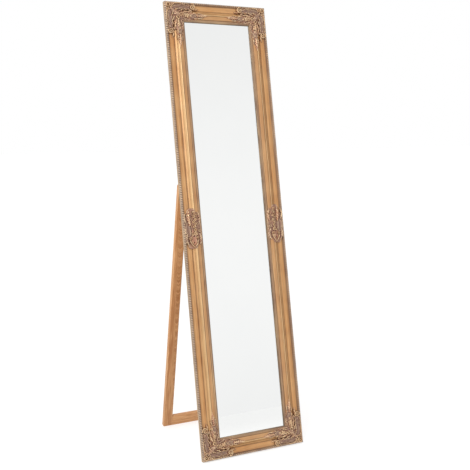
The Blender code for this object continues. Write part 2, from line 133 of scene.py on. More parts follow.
def feed(node, **values):
    # link each value to the node's socket of that name
    for socket, value in values.items():
        node.id_data.links.new(value, node.inputs[socket.replace("_", " ")])


def calc(tree, operation, first, second=0.0):
    return addNode(tree, "ShaderNodeMath", {0: first, 1: second}, operation=operation).outputs[0]


def remap(tree, value, low, high, toLow=0.0, toHigh=1.0, smooth=False):
    settings = {"Value": value, "From Min": low, "From Max": high, "To Min": toLow, "To Max": toHigh}
    kind = 'SMOOTHSTEP' if smooth else 'LINEAR'
    return addNode(tree, "ShaderNodeMapRange", settings, interpolation_type=kind).outputs["Result"]


def mix(tree, factor, first, second):
    return addNode(tree, "ShaderNodeMix", {0: factor, 6: first, 7: second}, data_type='RGBA').outputs[2]


def noise(tree, vector, scale, detail=3.0, roughness=0.5, distortion=0.0):
    values = {"Vector": vector, "Scale": scale, "Detail": detail, "Roughness": roughness,
              "Distortion": distortion}
    return addNode(tree, "ShaderNodeTexNoise", values).outputs["Fac"]


def ownPlace(tree):
    return addNode(tree, "ShaderNodeTexCoord").outputs["Object"]


def stretched(tree, vector, scale):
    return addNode(tree, "ShaderNodeMapping", {"Vector": vector, "Scale": scale}).outputs["Vector"]


def ramp(tree, value, stops):
    made = addNode(tree, "ShaderNodeValToRGB", {"Fac": value})
    bands = made.color_ramp.elements
    while len(bands) < len(stops):
        bands.new(0.5)
    for band, (place, colour) in zip(bands, stops):
        band.position = place
        band.color = colour
    return made.outputs["Color"]


def attribute(tree, name, output="Fac"):
    return addNode(tree, "ShaderNodeAttribute", attribute_name=name).outputs[output]


def srgb(colour):
    parts = [value / 255 for value in colour]
    return (*[v / 12.92 if v < 0.04045 else ((v + 0.055) / 1.055) ** 2.4 for v in parts], 1.0)


def srgbTable(table):
    return {name: srgb(colour) for name, colour in table.items()}


def newMaterial(name, **values):
    material = bpy.data.materials.new(name)
    material.use_nodes = True
    shader = material.node_tree.nodes["Principled BSDF"]
    for socket, value in values.items():
        shader.inputs[socket.replace("_", " ")].default_value = value
    return material, material.node_tree, shader


def addBump(tree, shader, height, strength, distance):
    values = {"Height": height, "Strength": strength, "Distance": distance}
    feed(shader, Normal=addNode(tree, "ShaderNodeBump", values).outputs["Normal"])


def newGroup(name, inputs, outputs):
    group = bpy.data.node_groups.new(name, "ShaderNodeTree")
    for direction, sockets in (('INPUT', inputs), ('OUTPUT', outputs)):
        for socketName, (kind, default) in sockets.items():
            socket = group.interface.new_socket(name=socketName, in_out=direction, socket_type=kind)
            if default is not None:
                socket.default_value = default
    given = group.nodes.new("NodeGroupInput").outputs
    return group, given, group.nodes.new("NodeGroupOutput")


def useGroup(tree, group, inputs):
    return addNode(tree, "ShaderNodeGroup", inputs, node_tree=group).outputs


# ---- effects shared by several finishes

colourSocket, valueSocket, vectorSocket = "NodeSocketColor", "NodeSocketFloat", "NodeSocketVector"


def makeAgedGilt():
    # gilt that is darker in the hollows, greyed by a wash, and lighter on the crests from rubbed gilt and a
    # painted highlight
    tree, given, result = newGroup("aged gilt", {
        "Gilt": (colourSocket, (0.6, 0.35, 0.17, 1)),
        "Wash": (colourSocket, (0.35, 0.27, 0.24, 1)),
        "Hollow": (colourSocket, (0.16, 0.08, 0.035, 1)),
        "Bright": (colourSocket, (0.85, 0.6, 0.38, 1)),
        "Crest": (valueSocket, 0.5),           # 0 deep in a hollow, 1 on a crest
        "Wash Amount": (valueSocket, 0.0),
        "Patch Size": (valueSocket, 0.02),
    }, {
        "Colour": (colourSocket, None),
        "Shine": (valueSocket, None),
        "Height": (valueSocket, None),
    })
    place = ownPlace(tree)
    patchScale = calc(tree, 'DIVIDE', 1.0, given["Patch Size"])
    patches = noise(tree, place, patchScale, 4.0, 0.6)
    specks = noise(tree, place, 900.0, 2.0, 0.6)
    tone = noise(tree, place, 14.0, 2.0)
    base = mix(tree, remap(tree, tone, 0.3, 0.7), given["Gilt"], given["Bright"])
    base = mix(tree, 0.22, given["Gilt"], base)

    washMask = calc(tree, 'ADD', given["Wash Amount"], calc(tree, 'SUBTRACT', patches, 0.58))
    washMask = remap(tree, washMask, -0.05, 0.55, 0.0, 0.92, smooth=True)
    thinning = remap(tree, noise(tree, place, 260.0, 3.0, 0.6), 0.3, 0.7)
    washTone = mix(tree, thinning, given["Wash"], given["Gilt"])
    washed = mix(tree, washMask, base, mix(tree, 0.35, given["Wash"], washTone))

    speckled = calc(tree, 'MULTIPLY', calc(tree, 'SUBTRACT', specks, 0.5), 0.25)
    crest = calc(tree, 'ADD', given["Crest"], speckled)
    hollowMask = remap(tree, crest, 0.40, 0.08, 0.0, 0.92, smooth=True)
    hollowed = mix(tree, hollowMask, washed, given["Hollow"])
    # painted highlight on the crests, in patches, together with rubbed gilt
    rubbedAndHighlightPatches = noise(tree, place, calc(tree, 'MULTIPLY', patchScale, 1.7), 3.0, 0.6)
    rubbedAndHighlightMask = remap(tree, crest, 0.60, 0.95, 0.0, 0.9, smooth=True)
    rubbedAndHighlightMask = calc(tree, 'MULTIPLY', rubbedAndHighlightMask, remap(tree, rubbedAndHighlightPatches, 0.38, 0.62, 0.12, 1.0))
    feed(result, Colour=mix(tree, rubbedAndHighlightMask, hollowed, given["Bright"]),
         Shine=remap(tree, calc(tree, 'SUBTRACT', rubbedAndHighlightMask, washMask), -1.0, 1.0),
         Height=calc(tree, 'ADD', calc(tree, 'MULTIPLY', specks, 0.4), patches))
    return tree


def makeWoodGrain():
    # grain runs along the Z of the given place
    tree, given, result = newGroup("wood grain", {
        "Place": (vectorSocket, None),
        "Light": (colourSocket, (0.7, 0.45, 0.25, 1)),
        "Dark": (colourSocket, (0.45, 0.24, 0.11, 1)),
        "Ring Width": (valueSocket, 0.006),
        "Pores": (valueSocket, 0.5),
    }, {
        "Colour": (colourSocket, None),
        "Height": (valueSocket, None),
    })
    drawn = stretched(tree, given["Place"], (1.0, 1.0, 0.045))
    ringScale = calc(tree, 'DIVIDE', 1.0, given["Ring Width"])
    drift = noise(tree, drawn, 14.0, 3.0, 0.5)
    rings = noise(tree, drawn, ringScale, 2.5, 0.55, 1.2)
    bands = remap(tree, rings, 0.32, 0.68, smooth=True)
    tone = calc(tree, 'ADD', calc(tree, 'MULTIPLY', bands, 0.7), calc(tree, 'MULTIPLY', drift, 0.5))
    wood = mix(tree, remap(tree, tone, 0.1, 1.0), given["Dark"], given["Light"])
    pores = noise(tree, stretched(tree, given["Place"], (1.0, 1.0, 0.02)), 1500.0, 2.0, 0.7)
    poreMask = calc(tree, 'MULTIPLY', remap(tree, pores, 0.56, 0.75, smooth=True), given["Pores"])
    poreTone = mix(tree, 0.55, given["Dark"], (0.05, 0.02, 0.01, 1.0))
    feed(result, Colour=mix(tree, poreMask, wood, poreTone),
         Height=calc(tree, 'SUBTRACT', calc(tree, 'MULTIPLY', bands, 0.35), poreMask))
    return tree


def makeMetalWear():
    # fine scratches and dull patches on small metal pieces
    tree, given, result = newGroup("metal wear", {
        "Clean": (colourSocket, (0.6, 0.6, 0.6, 1)),
        "Tarnish": (colourSocket, (0.2, 0.18, 0.16, 1)),
        "Amount": (valueSocket, 0.4),
        "Patch Size": (valueSocket, 0.004),
    }, {
        "Colour": (colourSocket, None),
        "Roughness": (valueSocket, None),
        "Height": (valueSocket, None),
    })
    place = ownPlace(tree)
    patches = noise(tree, place, calc(tree, 'DIVIDE', 1.0, given["Patch Size"]), 4.0, 0.65)
    scratches = noise(tree, stretched(tree, place, (1.0, 6.0, 0.25)), 900.0, 3.0, 0.7)
    mask = calc(tree, 'MULTIPLY', remap(tree, patches, 0.42, 0.68, smooth=True), given["Amount"])
    dulled = calc(tree, 'MULTIPLY', mask, 0.3)
    feed(result, Colour=mix(tree, mask, given["Clean"], given["Tarnish"]),
         Roughness=calc(tree, 'ADD', remap(tree, scratches, 0.3, 0.7, 0.24, 0.42), dulled),
         Height=scratches)
    return tree


agedGilt = makeAgedGilt()
woodGrain = makeWoodGrain()
metalWear = makeMetalWear()
addStudio()
print("camera, light and shared effects are ready")


# ---- finishes

gilding = {
    # colours across the moulding, as (distance in from the outer side in mm, colour); the crest's band is a
    # painted highlight and the wall at the sight edge is painted shade
    "bands": [
        (0.0, (172, 146, 118)), (0.6, (166, 134, 106)), (6.6, (132, 102, 78)), (8.6, (106, 72, 48)),
        (11.0, (204, 147, 92)), (18.0, (213, 156, 98)), (25.5, (207, 148, 90)), (28.4, (124, 80, 48)),
        # from 37.8 to 43.5 mm: painted highlight along the crest
        (30.4, (196, 146, 94)), (35.4, (207, 159, 105)), (36.5, (182, 131, 82)), (37.8, (214, 170, 116)),
        (43.5, (236, 197, 144)), (45.5, (142, 98, 64)), (47.5, (202, 149, 98)), (58.5, (200, 146, 97)),
        (60.4, (96, 66, 46)), (62.2, (180, 137, 103)), (65.0, (154, 122, 98)), (67.6, (134, 107, 88)),
        # at 70.4 mm: painted shade, darkest on the wall at the sight edge
        (69.8, (104, 83, 69)), (70.4, (42, 33, 27)),
    ],
    "rawWood": {"Light": (196, 160, 124), "Dark": (166, 126, 90)},
    "moulding": {"Wash": (137, 109, 100), "Hollow": (96, 60, 38), "Bright": (242, 204, 150)},
    "beading": {"Gilt": (152, 127, 108), "Wash": (136, 120, 112), "Hollow": (70, 54, 46),
                "Bright": (216, 186, 154)},
    "casting": {"Wash": (137, 109, 100), "Hollow": (88, 48, 34), "Bright": (246, 216, 172)},
    "castingGilt": (190, 145, 104),
    "castingDull": (152, 124, 98),
    "umber": (168, 94, 66),
    "flake": (226, 184, 132),     # patches of fresher leaf on the castings
    "mouldingMetallic": 0.30,
    "beadingMetallic": 0.20,
    "castingMetallic": 0.22,
}


def finishGilding(tree, shader, worn, roughest, smoothest):
    roughness = remap(tree, worn["Shine"], 0.0, 1.0, roughest, smoothest)
    feed(shader, Base_Color=worn["Colour"], Roughness=roughness)
    addBump(tree, shader, worn["Height"], 0.3, 0.0005)


def makeMouldingFinish(width):
    metallic = gilding["mouldingMetallic"]
    material, tree, shader = newMaterial("giltMoulding", Metallic=metallic)
    colours = srgbTable(gilding["moulding"])
    inset = attribute(tree, "inset")
    # the bands carry a painted highlight on the crest and painted shade on the wall at the sight edge
    gilt = ramp(tree, inset, [(place / width, srgb(colour)) for place, colour in gilding["bands"]])
    grain = attribute(tree, "grain", "Vector")
    streaks = noise(tree, stretched(tree, grain, (1.0, 1.0, 0.03)), 700.0, 3.0, 0.6)
    gilt = mix(tree, remap(tree, streaks, 0.38, 0.72, 0.0, 0.36), gilt, colours["Hollow"])
    runs = noise(tree, stretched(tree, grain, (1.0, 1.0, 0.02)), 230.0, 3.0, 0.65)
    gilt = mix(tree, remap(tree, runs, 0.46, 0.30, 0.0, 0.42), gilt, colours["Hollow"])
    gilt = mix(tree, remap(tree, runs, 0.54, 0.70, 0.0, 0.45), gilt, colours["Bright"])
    worn = useGroup(tree, agedGilt, {
        **colours, "Gilt": gilt, "Crest": 0.5, "Wash Amount": 0.02, "Patch Size": 0.03})
    raw = useGroup(tree, woodGrain, {
        **srgbTable(gilding["rawWood"]), "Place": grain, "Ring Width": 0.007, "Pores": 0.25})
    isRaw = calc(tree, 'GREATER_THAN', inset, 1.02)
    isGilt = calc(tree, 'SUBTRACT', 1.0, isRaw)
    shine = remap(tree, worn["Shine"], 0.0, 1.0, 0.50, 0.34)
    feed(shader, Base_Color=mix(tree, isRaw, worn["Colour"], raw["Colour"]),
         Metallic=calc(tree, 'MULTIPLY', isGilt, metallic),
         Roughness=calc(tree, 'ADD', shine, calc(tree, 'MULTIPLY', isRaw, 0.3)))
    height = calc(tree, 'ADD', calc(tree, 'MULTIPLY', streaks, 0.6), worn["Height"])
    addBump(tree, shader, height, 0.25, 0.0006)
    return material


def makeBeadingFinish():
    material, tree, shader = newMaterial("giltBeading", Metallic=gilding["beadingMetallic"])
    worn = useGroup(tree, agedGilt, {
        **srgbTable(gilding["beading"]), "Crest": attribute(tree, "crest"), "Wash Amount": 0.22,
        "Patch Size": 0.05})
    finishGilding(tree, shader, worn, 0.55, 0.40)
    return material


def makeCastingFinish():
    material, tree, shader = newMaterial("giltCasting", Metallic=gilding["castingMetallic"])
    place = ownPlace(tree)
    umber = srgb(gilding["umber"])
    drift = remap(tree, noise(tree, place, 70.0, 3.0, 0.6), 0.36, 0.66, 0.0, 0.75, smooth=True)
    gilt = mix(tree, drift, srgb(gilding["castingGilt"]), srgb(gilding["castingDull"]))
    gilt = mix(tree, calc(tree, 'MULTIPLY', attribute(tree, "tone"), 0.85), gilt, umber)
    rust = remap(tree, noise(tree, place, 130.0, 3.0, 0.6), 0.52, 0.66, 0.0, 0.6, smooth=True)
    gilt = mix(tree, rust, gilt, umber)
    leaf = remap(tree, noise(tree, place, 210.0, 3.0, 0.6), 0.56, 0.66, 0.0, 0.75, smooth=True)
    gilt = mix(tree, leaf, gilt, srgb(gilding["flake"]))
    worn = useGroup(tree, agedGilt, {
        **srgbTable(gilding["casting"]), "Gilt": gilt, "Crest": attribute(tree, "crest"),
        "Wash Amount": attribute(tree, "wash"), "Patch Size": 0.016})
    finishGilding(tree, shader, worn, 0.56, 0.36)
    return material


plainColours = {
    "silver": [(0.905, 0.915, 0.91, 1.0), (0.935, 0.94, 0.935, 1.0)],
    "hardboard": [srgb((122, 84, 56)), srgb((160, 116, 80))],
    "floor": [(0.51, 0.51, 0.505, 1.0), (0.53, 0.53, 0.525, 1.0)],
}


def makeMirrorFinish():
    material, tree, shader = newMaterial("silveredGlass", Metallic=1.0)
    place = ownPlace(tree)
    smears = noise(tree, place, 3.0, 4.0, 0.6)
    feed(shader, Base_Color=mix(tree, noise(tree, place, 6.0, 3.0), *plainColours["silver"]),
         Roughness=remap(tree, smears, 0.4, 0.75, 0.006, 0.03))
    return material


def makeHardboardFinish():
    material, tree, shader = newMaterial("hardboard")
    place = ownPlace(tree)
    fibres = noise(tree, place, 1400.0, 3.0, 0.7)
    mottled = noise(tree, place, 60.0, 4.0, 0.6)
    tone = calc(tree, 'ADD', calc(tree, 'MULTIPLY', fibres, 0.5), calc(tree, 'MULTIPLY', mottled, 0.5))
    feed(shader, Base_Color=mix(tree, remap(tree, tone, 0.3, 0.7), *plainColours["hardboard"]),
         Roughness=remap(tree, mottled, 0.3, 0.7, 0.72, 0.88))
    addBump(tree, shader, fibres, 0.4, 0.0003)
    return material


woodFinishes = {
    "easelWood": {
        "colours": {"Light": (238, 186, 132), "Dark": (188, 126, 77)},
        "ringWidth": 0.006,
        "pores": 0.4,
    },
    "dowelWood": {
        "colours": {"Light": (216, 186, 142), "Dark": (186, 150, 106)},
        "ringWidth": 0.002,
        "pores": 0.3,
    },
}


def makeWoodFinish(name, isSawn):
    # sawn pieces carry their own grain direction
    wood = woodFinishes[name]
    material, tree, shader = newMaterial(name)
    grain = useGroup(tree, woodGrain, {
        **srgbTable(wood["colours"]), "Ring Width": wood["ringWidth"], "Pores": wood["pores"],
        "Place": attribute(tree, "grain", "Vector") if isSawn else ownPlace(tree)})
    feed(shader, Base_Color=grain["Colour"], Roughness=remap(tree, grain["Height"], -0.4, 0.4, 0.62, 0.46))
    addBump(tree, shader, grain["Height"], 0.35, 0.0004)
    return material


metalFinishes = {
    "plainSteel": {"colours": {"Clean": (176, 176, 178), "Tarnish": (96, 90, 86)}, "amount": 0.5},
    "brassHinge": {"colours": {"Clean": (214, 178, 110), "Tarnish": (120, 86, 46)}, "amount": 0.6},
}


def makeMetalFinish(name):
    metal = metalFinishes[name]
    material, tree, shader = newMaterial(name, Metallic=1.0)
    wear = useGroup(tree, metalWear, {
        **srgbTable(metal["colours"]), "Amount": metal["amount"], "Patch Size": 0.005})
    feed(shader, Base_Color=wear["Colour"], Roughness=wear["Roughness"])
    addBump(tree, shader, wear["Height"], 0.15, 0.0002)
    return material


def makeFloorFinish():
    material, tree, shader = newMaterial("paleFloor", Emission_Color=white)
    seen = addNode(tree, "ShaderNodeLightPath").outputs
    direct = calc(tree, 'MULTIPLY', seen["Is Camera Ray"], studio["floorGlowSeen"])
    mirrored = calc(tree, 'MULTIPLY', seen["Is Glossy Ray"], studio["floorGlowMirrored"])
    place = ownPlace(tree)
    glow = calc(tree, 'ADD', calc(tree, 'ADD', direct, mirrored), studio["floorGlow"])
    feed(shader, Emission_Strength=glow,
         Base_Color=mix(tree, noise(tree, place, 2.0), *plainColours["floor"]),
         Roughness=remap(tree, noise(tree, place, 5.0), 0.3, 0.7, 0.75, 0.85))
    return material


# ---- spaces: pieces are made square in the mirror's or the easel's own space and then leaned

def leaned(origin, up):
    up = Vector(up).normalized()
    back = Vector((0, up.z, -up.y))
    turn = Matrix((Vector((1, 0, 0)), back, up)).transposed()
    return Matrix.Translation(origin) @ turn.to_4x4()


mounts = {mount["name"]: mount for mount in frame["record"]["mounts"]}
mirrorUp = -Vector(mounts["frame_foot"]["axis"])
mirrorBack = Vector((0, mirrorUp.z, -mirrorUp.y))
footPoint = Vector(mounts["frame_foot"]["pos_m"])
mirrorSpace = leaned(footPoint - mirrorBack * (footPoint.z / mirrorBack.z), mirrorUp)
easelSpace = leaned(Vector(frame["joints"][0]["pos_m"]), -Vector(mounts["easel_foot"]["axis"]))


def nodeBox(node, space):
    # lowest and highest corner of a CAD node in a space
    back = space.inverted()
    spots = np.array([back @ vert.co for vert in frame["nodes"][node].data.vertices])
    return spots.min(axis=0), spots.max(axis=0)


frameLow, frameHigh = nodeBox("left_stile", mirrorSpace)
frameWidth = -2 * float(frameLow[0])
frameHeight = float(frameHigh[2])
mouldingWidth = float(frameHigh[0] - frameLow[0])


def meshFrom(name, verts, faces, attributes=None):
    # closed mesh with its faces turned outwards
    mesh = bpy.data.meshes.new(name)
    mesh.from_pydata(np.asarray(verts, float).tolist(), [], faces)
    for attributeName, values in (attributes or {}).items():
        values = np.asarray(values, np.float32)
        kind, field = ('FLOAT_VECTOR', "vector") if values.ndim == 2 else ('FLOAT', "value")
        mesh.attributes.new(attributeName, kind, 'POINT').data.foreach_set(field, values.ravel())
    bm = bmesh.new()
    bm.from_mesh(mesh)
    bmesh.ops.recalc_face_normals(bm, faces=bm.faces)
    bm.to_mesh(mesh)
    bm.free()
    return mesh


def makePiece(name, verts, faces, space, material, body, replaced=(), attributes=None, sharp=38):
    mesh = meshFrom(name, verts, faces, attributes)
    mesh.transform(space)
    mesh.materials.append(material)
    mesh.shade_smooth()
    mesh.set_sharp_from_angle(angle=math.radians(sharp))
    made = addToScene(name, mesh)
    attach(made, body)
    if replaced:
        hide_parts(*replaced)
    return made


def fromBmesh(bm, name, space):
    mesh = bpy.data.meshes.new(name)
    bm.to_mesh(mesh)
    bm.free()
    mesh.transform(space)
    return addToScene(name, mesh)


def takeBmesh(bm):
    bm.verts.ensure_lookup_table()
    verts = np.array([vert.co[:] for vert in bm.verts])
    faces = [[vert.index for vert in face.verts] for face in bm.faces]
    bm.free()
    return verts, faces


def tubeFaces(rows, columns):
    # quads between closed rings of points, with a face at each end
    i, j = np.meshgrid(np.arange(rows - 1), np.arange(columns), indexing="ij")
    k = (j + 1) % columns
    row, nextRow = i * columns, (i + 1) * columns
    quads = np.stack([row + j, row + k, nextRow + k, nextRow + j], axis=-1)
    caps = [list(range(columns)), list(range((rows - 1) * columns, rows * columns))]
    return quads.reshape(-1, 4).tolist() + caps


def smoothRun(points, steps):
    # smooth curve through the points
    spots = np.array(points, float)
    padded = np.vstack([2 * spots[0] - spots[1], spots, 2 * spots[-1] - spots[-2]])
    curve = []
    for i in range(len(spots) - 1):
        a, b, c, d = padded[i:i + 4]
        for t in np.arange(steps) / steps:
            curve.append(0.5 * (2 * b + (c - a) * t + (2 * a - 5 * b + 4 * c - d) * t ** 2
                                + (3 * b - a - 3 * c + d) * t ** 3))
    return np.array(curve + [spots[-1]])


def applyModifiers(thing):
    graph = bpy.context.evaluated_depsgraph_get()
    graph.update()
    solid = bpy.data.meshes.new_from_object(thing.evaluated_get(graph))
    thing.modifiers.clear()
    thing.data = solid


def combine(first, second, operation='DIFFERENCE', keep=False):
    # exact boolean of two closed shapes; the second is used up unless it is kept
    joining = first.modifiers.new("combine", 'BOOLEAN')
    joining.operation = operation
    joining.solver = 'EXACT'
    joining.object = second
    applyModifiers(first)
    if not keep:
        bpy.data.objects.remove(second)


# ---- moulding

moulding = {
    # smooth runs of the face, as (distance in from the outer side, height over the back) in mm
    "runs": [
        [(2.0, 14.4), (2.4, 15.6), (3.4, 16.2), (5.0, 15.6), (6.2, 13.8), (7.0, 12.4)],
        [(7.3, 11.2), (8.3, 10.2), (10.5, 9.5), (14.0, 9.5), (18.0, 9.9), (22.5, 9.6), (26.5, 8.9),
         (28.4, 8.6)],
        [(28.7, 9.2), (29.8, 10.4), (32.5, 12.6), (35.9, 14.2)],
        [(36.4, 13.3), (37.0, 13.6), (37.9, 15.0), (39.6, 16.8), (41.6, 19.3), (43.0, 20.3), (44.4, 20.2),
         (45.1, 19.2)],
        [(45.4, 18.4), (48.0, 18.6), (52.0, 17.9), (56.5, 17.0), (59.4, 16.0), (60.2, 14.8)],
        [(60.6, 14.6), (61.5, 15.5), (64.5, 15.6), (67.5, 15.0), (69.6, 14.2), (70.4, 13.2)],
    ],
    "side": [(0.0, 0.5), (0.0, 4.0), (0.0, 7.9), (0.9, 8.4), (1.6, 9.0), (1.8, 13.7)],
    "rebateWidth": 10.0,
    "rebateFloor": 10.0,
    "chamfer": 0.5,
    "mitreGap": 0.15,
    "rowStep": 8.0,
    "unevenness": 0.10,
    "slotPlay": 0.3,
    "nailThickness": 0.8,
    "threadShare": 0.55,          # of a screw's head, that its hole in the wood is wide
}

faceRuns = np.vstack([smoothRun(run, 4) for run in moulding["runs"]])


def faceHeight(distance):
    return np.interp(distance, faceRuns[:, 0], faceRuns[:, 1])


def onStile(side):
    def lie(distance, along, height):
        x = side * (frameWidth / 2 - distance * mm)
        return np.stack([x, -height * mm, along * mm], axis=-1)
    return lie


def onRail(end):
    def lie(distance, along, height):
        level = frameHeight - distance * mm if end else distance * mm
        return np.stack([along * mm - frameWidth / 2, -height * mm, level], axis=-1)
    return lie


bars = {
    "left_stile": (onStile(-1), frameHeight / mm, 0.0),
    "right_stile": (onStile(1), frameHeight / mm, 3.1),
    "bottom_rail": (onRail(0), frameWidth / mm, 5.7),
    "top_rail": (onRail(1), frameWidth / mm, 8.3),
}


def mitredRows(section, length, step):
    # distance, along and height of every point of a bar, row by row from mitre to mitre
    distance, height = section[:, 0], section[:, 1]
    count = max(2, int(length / step))
    share = np.linspace(0, 1, count + 1)[:, None]
    start = distance + moulding["mitreGap"]
    along = start + (length - 2 * start) * share
    shape = along.shape
    return np.broadcast_to(distance, shape), along, np.broadcast_to(height, shape), share


def handMade(along, distance, seed):
    # slow waves that make a face a little uneven
    return (np.sin(along / 21.0 + distance * 0.11 + seed)
            + 0.7 * np.sin(along / 8.7 - distance * 0.23 + 2 * seed)
            + 0.5 * np.sin(along / 53.0 + seed * 1.7))


def makeSlots():
    # room for the V-shaped nails, the glazing points and the hinges' screws, with a little play
    bm = bmesh.new()
    play = moulding["slotPlay"] * mm
    for node in frame["nodes"]:
        low, high = nodeBox(node, mirrorSpace)
        if node.startswith("v_nail"):
            addNailSlot(bm, node, low - play, high + play)
        elif node.startswith("glazing_point"):
            addBlock(bm, low - play, high + play)
        elif "frame_screw" in node:
            addHole(bm, low, high, 1)
    bmesh.ops.recalc_face_normals(bm, faces=bm.faces)
    return fromBmesh(bm, "slots", mirrorSpace)


def addNailSlot(bm, node, low, high):
    # L-shaped in X and Z with its elbow towards the frame's own corner, and open at the back
    wing = (moulding["nailThickness"] + 2 * moulding["slotPlay"]) * mm
    x, inX = ((low[0], high[0]), wing) if "left" in node else ((high[0], low[0]), -wing)
    z, inZ = ((low[2], high[2]), wing) if "bottom" in node else ((high[2], low[2]), -wing)
    outline = [(x[0], z[0]), (x[1], z[0]), (x[1], z[0] + inZ), (x[0] + inX, z[0] + inZ), (x[0] + inX, z[1]),
               (x[0], z[1])]
    addPrism(bm, [(px, low[1], pz) for px, pz in outline], (0, mm - low[1], 0))


def addPrism(bm, outline, run):
    first = [bm.verts.new(point) for point in outline]
    second = [bm.verts.new(Vector(point) + Vector(run)) for point in outline]
    bm.faces.new(first)
    bm.faces.new(second[::-1])
    for i in range(len(outline)):
        j = (i + 1) % len(outline)
        bm.faces.new((first[i], first[j], second[j], second[i]))


def addBlock(bm, low, high):
    outline = [(low[0], low[1], low[2]), (high[0], low[1], low[2]), (high[0], high[1], low[2]),
               (low[0], high[1], low[2])]
    addPrism(bm, outline, (0, 0, high[2] - low[2]))


def addHole(bm, low, high, axis):
    # round hole along X (axis 0) for a dowel, or along Y (1) for a screw's shank
    centre = (Vector(low) + Vector(high)) / 2
    turn = Matrix.Rotation(math.radians(90), 4, 'Y' if axis == 0 else 'X')
    share = 1.0 if axis == 0 else moulding["threadShare"]
    radius = (high[2] - low[2]) / 2 * share + 0.5 * moulding["slotPlay"] * mm
    bmesh.ops.create_cone(bm, cap_ends=True, segments=24, radius1=radius, radius2=radius,
                          depth=high[axis] - low[axis] + 2 * moulding["slotPlay"] * mm,
                          matrix=Matrix.Translation(centre) @ turn)


def makeBars(material):
    width = mouldingWidth / mm
    rebate = width - moulding["rebateWidth"]
    floor, chamfer = moulding["rebateFloor"], moulding["chamfer"]
    behind = [(width, floor + chamfer), (width - chamfer, floor), (rebate, floor), (rebate, chamfer),
              (rebate - chamfer, 0.0), (chamfer, 0.0)]
    section = np.array(moulding["side"] + faceRuns.tolist() + behind)
    # share of the width that a point is in from the outer side; over 1 is raw wood
    inset = np.concatenate([np.zeros(len(moulding["side"])), faceRuns[:, 0] / width, [1.0], 5 * [1.1]])
    slots = makeSlots()
    for name, (lie, length, seed) in bars.items():
        distance, along, height, share = mitredRows(section, length, moulding["rowStep"])
        onFace = (height > floor + 0.6) * np.sin(np.pi * share) ** 0.25
        height = height + moulding["unevenness"] * handMade(along, distance, seed) / 2 * onFace
        grain = np.stack([distance * mm + seed, height * mm, along * mm], axis=-1).reshape(-1, 3)
        verts = lie(distance, along, height).reshape(-1, 3)
        attributes = {"inset": np.tile(inset, len(along)), "grain": grain}
        bar = makePiece(name + "_moulding", verts, tubeFaces(*along.shape), mirrorSpace, material, "mirror",
                        [name], attributes, sharp=42)
        combine(bar, slots, keep=True)
    bpy.data.objects.remove(slots)


# ---- carved beading along the outer edge

beading = {
    "outline": [(1.5, 8.5), (0.1, 9.6), (0.0, 12.5), (0.0, 15.2), (0.9, 17.3), (3.0, 18.1), (5.0, 17.0),
                (6.3, 14.4), (7.2, 12.0)],
    "under": [(6.2, 11.0), (3.0, 10.0)],
    "centre": (4.2, 12.4),        # that the carving sinks towards
    "innermost": 7.2,
    "pitch": 8.2,
    "rowsPerPitch": 9,
    "carveDepth": 1.7,
    "slant": 0.35,                # of the pitch, from one side of the bead to the other
}


def makeBeading(material):
    top = smoothRun(beading["outline"], 2)
    section = np.vstack([top, beading["under"]])
    flat = np.zeros(len(beading["under"]))
    across = np.concatenate([np.linspace(-1, 1, len(top)), flat])
    raised = np.concatenate([np.sin(np.pi * np.linspace(0, 1, len(top))) ** 0.7, flat])
    outward = section - np.array(beading["centre"])
    outward /= np.linalg.norm(outward, axis=1)[:, None]
    step = beading["pitch"] / beading["rowsPerPitch"]
    for name, (lie, length, _) in bars.items():
        distance, along, height, _ = mitredRows(section, length, step)
        phase = along / beading["pitch"] + beading["slant"] * across
        lobe = np.abs(np.sin(np.pi * phase)) ** 0.6
        carved = beading["carveDepth"] * (1 - lobe) * raised
        distance = np.clip(distance - carved * outward[:, 0], 0.0, beading["innermost"])
        height = height - carved * outward[:, 1]
        # the lobes get the painted highlight, the gaps between them the darker hollow colour
        crest = 0.48 + (lobe - 0.62) * 1.5 * raised
        verts = lie(distance, along, height).reshape(-1, 3)
        makePiece(name + "_beading", verts, tubeFaces(*along.shape), mirrorSpace, material, "mirror",
                  attributes={"crest": crest.ravel()}, sharp=70)


# ---- carved castings, modelled as relief over a flat grid and then laid on the moulding

casting = {
    "gridStep": 0.6,
    "bed": [(0.0, 16.0), (3.0, 17.9), (8.0, 15.4), (14.0, 14.2), (20.0, 14.0), (28.0, 15.0), (36.0, 17.0),
            (43.0, 20.4), (48.0, 19.6), (56.0, 17.4), (61.0, 16.2), (66.0, 15.0), (70.0, 12.6)],
    "bedRun": 3.6,                # from the rim inwards, over which the hollows fill up
    "rimSlope": 1.8,
    "thickness": 2.0,
    "tallest": 20.8,              # over the back, at the frame's outer side
    "groove": 2.2,                # depth of the groove cut around every leaf and scroll
    "grooveReach": 1.15,
    "softness": 0.5,              # of the modelling, in grid steps
    "crestReach": 1.9,            # mm, over which a crest stands out from what is around it
    "crestHeight": 0.85,
    "margins": (1.4, 67.8),       # distances in from the outer side that the castings keep to
    "notchSlant": 0.9,
    "notchDepth": 1.1,
    "veinDepth": 0.35,
    "fluteDepth": 0.75,
    "cupReach": 0.55,             # of the leaf's half width
    "ribReach": 0.9,
    "cornerReach": 166,           # mm along each arm
    "sideReach": 70,              # mm up and down from the stile's middle
}


def newField(across, along):
    p, q = np.meshgrid(across, along, indexing="ij")
    return {"p": p, "q": q, "relief": np.full(p.shape, -9.0), "inside": np.full(p.shape, -9.0),
            "wash": np.zeros(p.shape), "tone": np.zeros(p.shape)}


